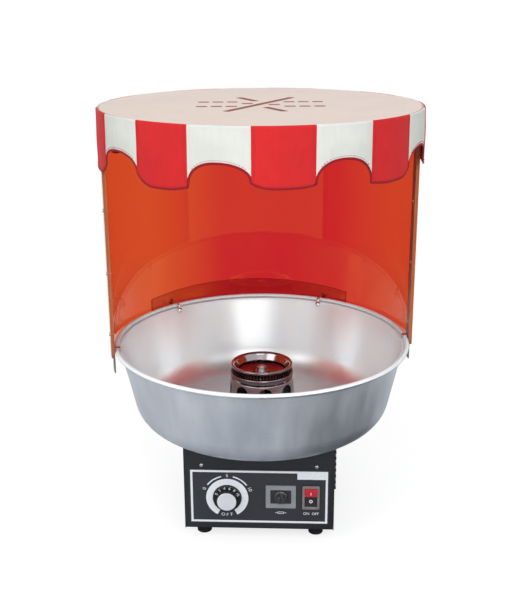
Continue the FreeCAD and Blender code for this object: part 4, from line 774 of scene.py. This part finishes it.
# flat-felled seams between the panels, folded towards the red ones
bm = bmesh.new()
for seam in range(PANELS):
    side = 1 if seam % 2 else -1
    angle = (seam + 0.5) * PANEL + side * SEAM_SIDE
    low = TIPS[seam] + 0.001
    points = []
    normals = []
    for row in range(ROWS + 1):
        down = row / ROWS
        z = TOP_Z - 0.0005 + (low - TOP_Z + 0.0005) * down
        points.append(canopy_point(skirt_radius(seam, 1.0, down) + 0.0002, angle, z))
        normals.append(canopy_point(1.0, angle, 0.0))
    strip_along(bm, points, normals, *FELL, closed=False)
seams = piece("valance_seams", bm, [RED_CLOTH], "canopy")


def stitch(bm, start, end, out, width=0.00032):
    """One short raised stitch between two points."""
    along = end - start
    side = along.normalized().cross(out).normalized() * width
    middle = (start + end) / 2 + out * width * 1.4
    corners = [start - side, end - side, end + side, start + side]
    base = [bm.verts.new(p - out * width) for p in corners]
    crown = [bm.verts.new(middle + along * (0.28 * a) + side * (0.8 * b))
             for a, b in ((-1, -1), (1, -1), (1, 1), (-1, 1))]
    bm.faces.new(crown)
    for k in range(4):
        bm.faces.new((base[k], base[(k + 1) % 4], crown[(k + 1) % 4], crown[k]))


STITCH = 0.0026                    # from stitch to stitch
ROW_Z = 0.0042                     # of the stitches above the scalloped edge
bm = bmesh.new()
for seam in range(PANELS):
    side = 1 if seam % 2 else -1
    angle = (seam + 0.5) * PANEL + side * STITCH_SIDE
    red_panel = (seam + 1) % PANELS if seam % 2 else seam
    share = STITCH_SIDE / PANEL if seam % 2 else 1 - STITCH_SIDE / PANEL
    low = hem_z(red_panel, share) + 0.005
    count = int((TOP_Z - low) / STITCH)
    out = canopy_point(1.0, angle, 0.0)
    for k in range(count):
        radius = skirt_radius(red_panel, share, (k + 0.2) / count) + OFF_CLOTH
        start, end = [canopy_point(radius, angle, TOP_Z + (low - TOP_Z) * (k + part) / count)
                      for part in (0.2, 0.8)]
        stitch(bm, start, end, out)
# one row just above the binding
for panel in range(PANELS):
    for column in range(COLUMNS):
        share = share_of(column)
        next_share = share_of(column + 1)
        if not 0.04 < share < 0.93:
            continue
        steps = 2 if 0.2 < share < 0.8 else 1
        for k in range(steps):
            ends = [share + (next_share - share) * (k + part) / steps for part in (0.2, 0.8)]
            start, end = [canopy_point(skirt_radius(panel, s, 0.95) + OFF_CLOTH,
                                       (panel - 0.5 + s) * PANEL, hem_z(panel, s) + ROW_Z)
                          for s in ends]
            stitch(bm, start, end, canopy_point(1.0, (panel - 0.5 + ends[0]) * PANEL, 0.0))
stitches = piece("valance_stitches", bm, [THREAD_RED], "canopy", smooth=False)

# welt cord where the cloth meets the board
bm = bmesh.new()
points = [canopy_point(BOARD_R + 0.0011, 2 * math.pi * i / 360, TOP_Z - 0.0007)
          for i in range(360)]
outs = [canopy_point(1.0, 2 * math.pi * i / 360, 0.0) for i in range(360)]
strip_along(bm, points, outs, CORD_R, CORD_R)
welt = piece("valance_welt", bm, [WHITE_CLOTH], "canopy")


# ---- edging round the board's slots, brown, partly painted shade of the slot walls ---
VENT_TURN = math.radians(2.5)
VENT_HALF = 0.0015                 # half of a slot's width
END_POINTS = 14                    # round each end of a slot
END_SHARE = 0.35                   # of the edging's width, round the ends
LONG_SLOT, SLANT_SLOT, SHORT_SLOT = 0.181, 0.049, 0.013    # lengths
SLANT = 61                         # degrees
SLANT_X, SLANT_Y = 0.0186, 0.0578
PAIR_X, PAIR_Y = 0.018, 0.0065     # the two short slots beside the long one
ROW_X, ROW_PITCH, ROW_Y = 0.0385, 0.0195, 0.0255
# across the edging: distance out from the slot's wall, height over the board
EDGING = [(0.0040, -0.00005), (0.0040, 0.0), (0.0036, 0.00018), (0.0, 0.0002),
          (-0.00006, 0.0001), (-0.00006, -0.0009), (0.0, -0.0009), (0.0, -0.00005)]


def slot_edging(bm, length, x, y, angle):
    """Closed ring of edging round one slot; lengths in metres, angle in degrees."""
    straight = length / 2 - VENT_HALF
    turn = Matrix.Rotation(VENT_TURN, 3, "Z")
    lean = Matrix.Rotation(math.radians(angle), 3, "Z")
    loops = []
    for k in range(2 * END_POINTS):
        end = 1 if k < END_POINTS else -1
        a = math.pi * (k % END_POINTS) / (END_POINTS - 1) - end * math.pi / 2
        loop = []
        for out, up in EDGING:
            flat = Vector((end * straight + (VENT_HALF + END_SHARE * out) * math.cos(a),
                           (VENT_HALF + out) * math.sin(a), 0))
            place = turn @ (lean @ flat + Vector((x, y, 0)))
            loop.append(bm.verts.new((place.x, place.y, BOARD_HIGH.z + up)))
        loops.append(loop)
    width = len(EDGING)
    for k, a in enumerate(loops):
        b = loops[(k + 1) % len(loops)]
        for j in range(width):
            bm.faces.new((a[j], a[(j + 1) % width], b[(j + 1) % width], b[j]))


bm = bmesh.new()
slot_edging(bm, LONG_SLOT, 0, 0, SLANT)
for side in (-1, 1):
    slot_edging(bm, SLANT_SLOT, side * SLANT_X, -side * SLANT_Y, -SLANT)
    slot_edging(bm, SHORT_SLOT, side * PAIR_X, -side * PAIR_Y, 0)
    for row in (-ROW_Y, ROW_Y):
        for index in range(3):
            slot_edging(bm, SHORT_SLOT, side * (ROW_X + ROW_PITCH * index), row, 0)
bmesh.ops.recalc_face_normals(bm, faces=bm.faces)
edging_and_shade = piece("vent_edging_and_shade", bm, [BROWN_EDGING_AND_SHADE], "canopy", smooth=False)


# ---- printing on the control plate ----------------------------------------------
INK_FRONT, INK_BACK = PLATE_LOW.y - 0.00012, PLATE_LOW.y + 0.00005
LETTER_HALF = 0.00006              # half of the letters' thickness
INSET, LINE = 0.0022, 0.0030       # of the line round the plate
FIELD_X, FIELD_Z = 0.0534, 0.0965  # inner corner of the bare white field at the upper right
RING_IN, RING_OUT, RING_END = 0.0204, 0.0296, 152    # the ring round the dial ends below
SCALE_IN, SCALE_OUT = 0.0330, 0.0348
SCALE_START, SCALE_END = 14, 54    # degrees from the top, to either side
NUMBER_R, OFF_R, SKIRT_NUMBER_R = 0.0346, 0.0266, 0.0166
LEGEND_Z = 0.0430                  # ON and OFF below the switch
bm = bmesh.new()
x0, x1 = PLATE_LOW.x + INSET, PLATE_HIGH.x - INSET
z0, z1 = PLATE_LOW.z + INSET, PLATE_HIGH.z - INSET
box_print(bm, x0, x1, z0, z0 + LINE)
box_print(bm, x0, x1, z1 - LINE, z1)
box_print(bm, x0, x0 + LINE, z0 + LINE, z1 - LINE)
box_print(bm, x1 - LINE, x1, z0 + LINE, z1 - LINE)
box_print(bm, FIELD_X, x1 - LINE, FIELD_Z, z1 - LINE)
frame_print = piece("plate_frame_print", bm, [INK], "base", smooth=False)

# dial ring with its gap below, and two scale arcs above
bm = bmesh.new()
arc_print(bm, RING_IN, RING_OUT, -RING_END, RING_END, 72)
arc_print(bm, SCALE_IN, SCALE_OUT, -SCALE_END, -SCALE_START, 16)
arc_print(bm, SCALE_IN, SCALE_OUT, SCALE_START, SCALE_END, 16)
dial_print = piece("dial_ring_print", bm, [INK], "base", smooth=False)

# the letters in the gap stand upright, so their radius counts down from the knob
for name, text, size, radius, angle in (
        ("dial_number_low", "0", 0.0072, NUMBER_R, -66),
        ("dial_number_mid", "5", 0.0066, NUMBER_R, 0),
        ("dial_number_high", "10", 0.0072, NUMBER_R, 66),
        ("dial_off_first", "O", 0.0068, -OFF_R, 13),
        ("dial_off_second", "F", 0.0068, -OFF_R, 0),
        ("dial_off_third", "F", 0.0068, -OFF_R, -13)):
    knob_label(name, text, size, radius, angle, INK_FRONT, "base")

# scale numbers on the knob's skirt
SKIRT_Y = KNOB_LOW.y + 0.0073      # the skirt's face behind the knob's front
for index, text in enumerate(("0", "2", "4", "6", "8", "10")):
    knob_label("skirt_number_" + text, text, 0.0058, SKIRT_NUMBER_R,
                       -62 + 124 * index / 5, SKIRT_Y - 0.00008, "dial")

# generic fuse sign below the fuse: a long box with a line through it
bm = bmesh.new()
fuse_low, fuse_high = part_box("fuse_plate")
cx, cz = (fuse_low.x + fuse_high.x) / 2, 0.0440
STROKE, LEAD = 0.0006, 0.0036      # thickness of the lines, length of the two outside the box
half, tall = 0.0042, 0.0016
box_print(bm, cx - half, cx + half, cz + tall - STROKE, cz + tall)
box_print(bm, cx - half, cx + half, cz - tall, cz - tall + STROKE)
for start in (cx - half, cx + half - STROKE):
    box_print(bm, start, start + STROKE, cz - tall + STROKE, cz + tall - STROKE)
for start in (cx - half - LEAD, cx + half):
    box_print(bm, start, start + LEAD, cz - STROKE / 2, cz + STROKE / 2)
fuse_print = piece("fuse_sign_print", bm, [INK], "base", smooth=False)

for name, text, side in (("switch_word_on", "ON", -1), ("switch_word_off", "OFF", 1)):
    label(name, text, 0.0056, SWITCH.x + side * 0.0064, INK_FRONT, LEGEND_Z, "base")

# I and O printed on the rocker's hollow face, from its middle
MARK_Z, MARK_LENGTH, MARK_HALF = 0.0042, 0.0050, 0.0006
RING_Z, RING_RADII = -0.0066, (0.0013, 0.0025)
rocker_mesh = nodes["power_rocker"].data
rocker_face = BVHTree.FromPolygons([v.co for v in rocker_mesh.vertices],
                                   [p.vertices for p in rocker_mesh.polygons])


def printed_strip(bm, left, right, closed):
    """Thin print between two lines of (x, z) points, laid on the rocker's face."""
    rows = []
    for pair in zip(left, right):
        row = []
        for x, z in pair:
            hit = rocker_face.ray_cast(Vector((x, -0.2, z)), Vector((0, 1, 0)))[0]
            row += [bm.verts.new((x, hit.y - 0.00012, z)), bm.verts.new((x, hit.y + 0.0001, z))]
        rows.append(row)
    count = len(rows)
    faces = []
    for i in range(count if closed else count - 1):
        a, b = rows[i], rows[(i + 1) % count]
        for j, k in ((0, 2), (2, 3), (3, 1), (1, 0)):
            faces.append(bm.faces.new((a[j], a[k], b[k], b[j])))
    if not closed:
        for row in (rows[0], rows[-1]):
            faces.append(bm.faces.new((row[0], row[2], row[3], row[1])))
    bmesh.ops.recalc_face_normals(bm, faces=faces)


bm = bmesh.new()
heights = [SWITCH.z + MARK_Z + MARK_LENGTH * i / 6 for i in range(7)]
left, right = [[(SWITCH.x + side * MARK_HALF, z) for z in heights] for side in (-1, 1)]
printed_strip(bm, left, right, False)
turns = [2 * math.pi * i / 32 for i in range(32)]
inner, outer = [[(SWITCH.x + radius * math.sin(a), SWITCH.z + RING_Z + radius * math.cos(a))
                 for a in turns] for radius in RING_RADII]
printed_strip(bm, inner, outer, True)
rocker_print = piece("rocker_marks", bm, [INK], "rocker", smooth=False)


# ---- stage ----------------------------------------------------------------------
def shown(shading):
    """1 for rays that show the backdrop: to the eye, in gloss and through the sheet."""
    path = shading.new("ShaderNodeLightPath").outputs
    seen = path["Is Camera Ray"]
    for ray in ("Is Glossy Ray", "Is Transmission Ray"):
        seen = shading.math("MAXIMUM", seen, path[ray])
    return shading.math("SUBTRACT", seen, path["Diffuse Depth"], True)


def backdrop_material():
    """Pale studio floor: white to the eye, with the object's soft shadow kept near it."""
    mat = bpy.data.materials.new("stage_floor")
    floor = Shading(mat)
    diffuse = floor.shader("ShaderNodeBsdfDiffuse", (0.46, 0.46, 0.46, 1))
    near = floor.new("ShaderNodeAddShader", (
        floor.shader("ShaderNodeBsdfDiffuse", (0.38, 0.38, 0.38, 1)),
        floor.shader("ShaderNodeEmission", (1, 1, 1, 1), 0.74))).outputs[0]
    # further off the floor is plain white to the eye
    far = floor.shader("ShaderNodeEmission", (1, 1, 1, 1), 1.0)
    reach = floor.vector("LENGTH", floor.coords)["Value"]
    eye = floor.blend(floor.fade(reach, 0.35, 0.9), near, far)
    floor.show(floor.blend(shown(floor), diffuse, eye))
    return mat


def reflected_shade_material():
    """Painted shade for the metal's reflections: a grey card that fades out at its edge and is
    darker right of the machine.
    """
    mat = bpy.data.materials.new("stage_shade_card")
    shade_card = Shading(mat)
    from_middle = shade_card.vector("DISTANCE", shade_card.coords, (0, 0, 0))["Value"]
    from_right = shade_card.vector("DISTANCE", shade_card.coords, (0.31, -0.13, 0))["Value"]
    # less painted shade to the left and behind
    px, py, _ = shade_card.axes()
    pale = shade_card.math("MAXIMUM", shade_card.fade(px, -0.05, -0.22), shade_card.fade(py, 0.05, 0.30))
    tone = shade_card.mix(pale, (0.35, 0.38, 0.42, 1), (0.60, 0.63, 0.67, 1))
    tone = shade_card.mix(shade_card.fade(from_right, 0.12, 0.30), (0.04, 0.05, 0.065, 1), tone)
    clear = shade_card.shader("ShaderNodeBsdfTransparent", (1, 1, 1, 1))
    shade_card.show(shade_card.blend(shade_card.range(from_middle, 1.0, 0.0, 0.5, 0.95, "SMOOTHSTEP"), clear,
                         shade_card.shader("ShaderNodeBsdfDiffuse", tone)))
    return mat


def stage_sheet(name, size, z, material):
    bm = bmesh.new()
    bmesh.ops.create_grid(bm, x_segments=2, y_segments=2, size=size)
    mesh = bpy.data.meshes.new(name)
    bm.to_mesh(mesh)
    bm.free()
    sheet = bpy.data.objects.new(name, mesh)
    sheet.location = (0, 0, z)
    mesh.materials.append(material)
    bpy.context.scene.collection.objects.link(sheet)
    return sheet


stage_sheet("stage_floor", 6.0, -0.0005, backdrop_material())
# a card on the floor that only the polished metal sees, painted shade that darkens its
# reflections
shade_card = stage_sheet("stage_shade_card", 1.0, -0.0003, reflected_shade_material())
for ray in ("camera", "diffuse", "transmission", "shadow", "volume_scatter"):
    setattr(shade_card, "visible_" + ray, False)

world = bpy.data.worlds.new("studio")
bpy.context.scene.world = world
sky = Shading(world, "ShaderNodeOutputWorld")
# the studio is brighter in front of the machine than behind it
light = sky.range(sky.axes(sky.generated)[1], 0.40, 1.06, 0.05, -0.65, "SMOOTHSTEP")
studio = sky.shader("ShaderNodeBackground", (0.96, 0.98, 1.0, 1), light)
white = sky.shader("ShaderNodeBackground", (1, 1, 1, 1), 1.0)
sky.show(sky.blend(shown(sky), studio, white))


def lamp(name, place, target, size, power, colour=(1, 1, 1)):
    data = bpy.data.lights.new(name, "AREA")
    data.shape = "RECTANGLE"
    data.size, data.size_y = size
    data.energy = power
    data.color = colour
    obj = bpy.data.objects.new(name, data)
    obj.location = place
    obj.rotation_mode = "QUATERNION"
    obj.rotation_quaternion = (Vector(target) - Vector(place)).to_track_quat("-Z", "Y")
    obj.visible_transmission = False
    bpy.context.scene.collection.objects.link(obj)


lamp("key", (-1.6, -1.7, 2.1), (0, 0, 0.35), (1.4, 1.4), 12.0)
lamp("front_panel", (0.35, -2.4, 1.55), (0, 0, 0.25), (1.3, 1.5), 19.0)
lamp("warm_right", (0.95, -2.2, 1.4), (0, 0, 0.25), (0.3, 1.4), 4.0, (1.0, 0.95, 0.88))
lamp("warm_left", (-2.1, -1.25, 1.4), (0, 0, 0.25), (0.3, 1.4), 2.0, (1.0, 0.76, 0.64))
lamp("top", (0.1, 0.0, 2.6), (0, 0, 0.6), (1.8, 1.8), 3.0)
lamp("back", (0.2, 2.0, 1.9), (0, 0, 0.4), (1.8, 1.2), 6.0)

# ---- camera, fitted to the photograph -------------------------------------------
EYE = Vector((0.0570, -1.3114, 0.7475))
PITCH = math.radians(17.894)
ROLL = math.radians(0.242)
ahead = Vector((-EYE.x, -EYE.y, 0.0)).normalized()
sight = ahead * math.cos(PITCH) - Vector((0, 0, 1)) * math.sin(PITCH)
right = sight.cross(Vector((0, 0, 1))).normalized()
up = right.cross(sight).normalized()
rolled_right = right * math.cos(ROLL) - up * math.sin(ROLL)
rolled_up = up * math.cos(ROLL) + right * math.sin(ROLL)
camera_data = bpy.data.cameras.new("camera")
camera_data.lens = 66.78
camera_data.sensor_width = 36.0
camera_data.sensor_fit = "HORIZONTAL"
camera_data.clip_start = 0.01
camera_data.clip_end = 50.0
camera = bpy.data.objects.new("camera", camera_data)
camera.matrix_world = Matrix.Translation(EYE) @ Matrix(
    (rolled_right, rolled_up, -sight)).transposed().to_4x4()
bpy.context.scene.collection.objects.link(camera)
bpy.context.scene.camera = camera
bpy.context.scene.view_settings.view_transform = "Standard"
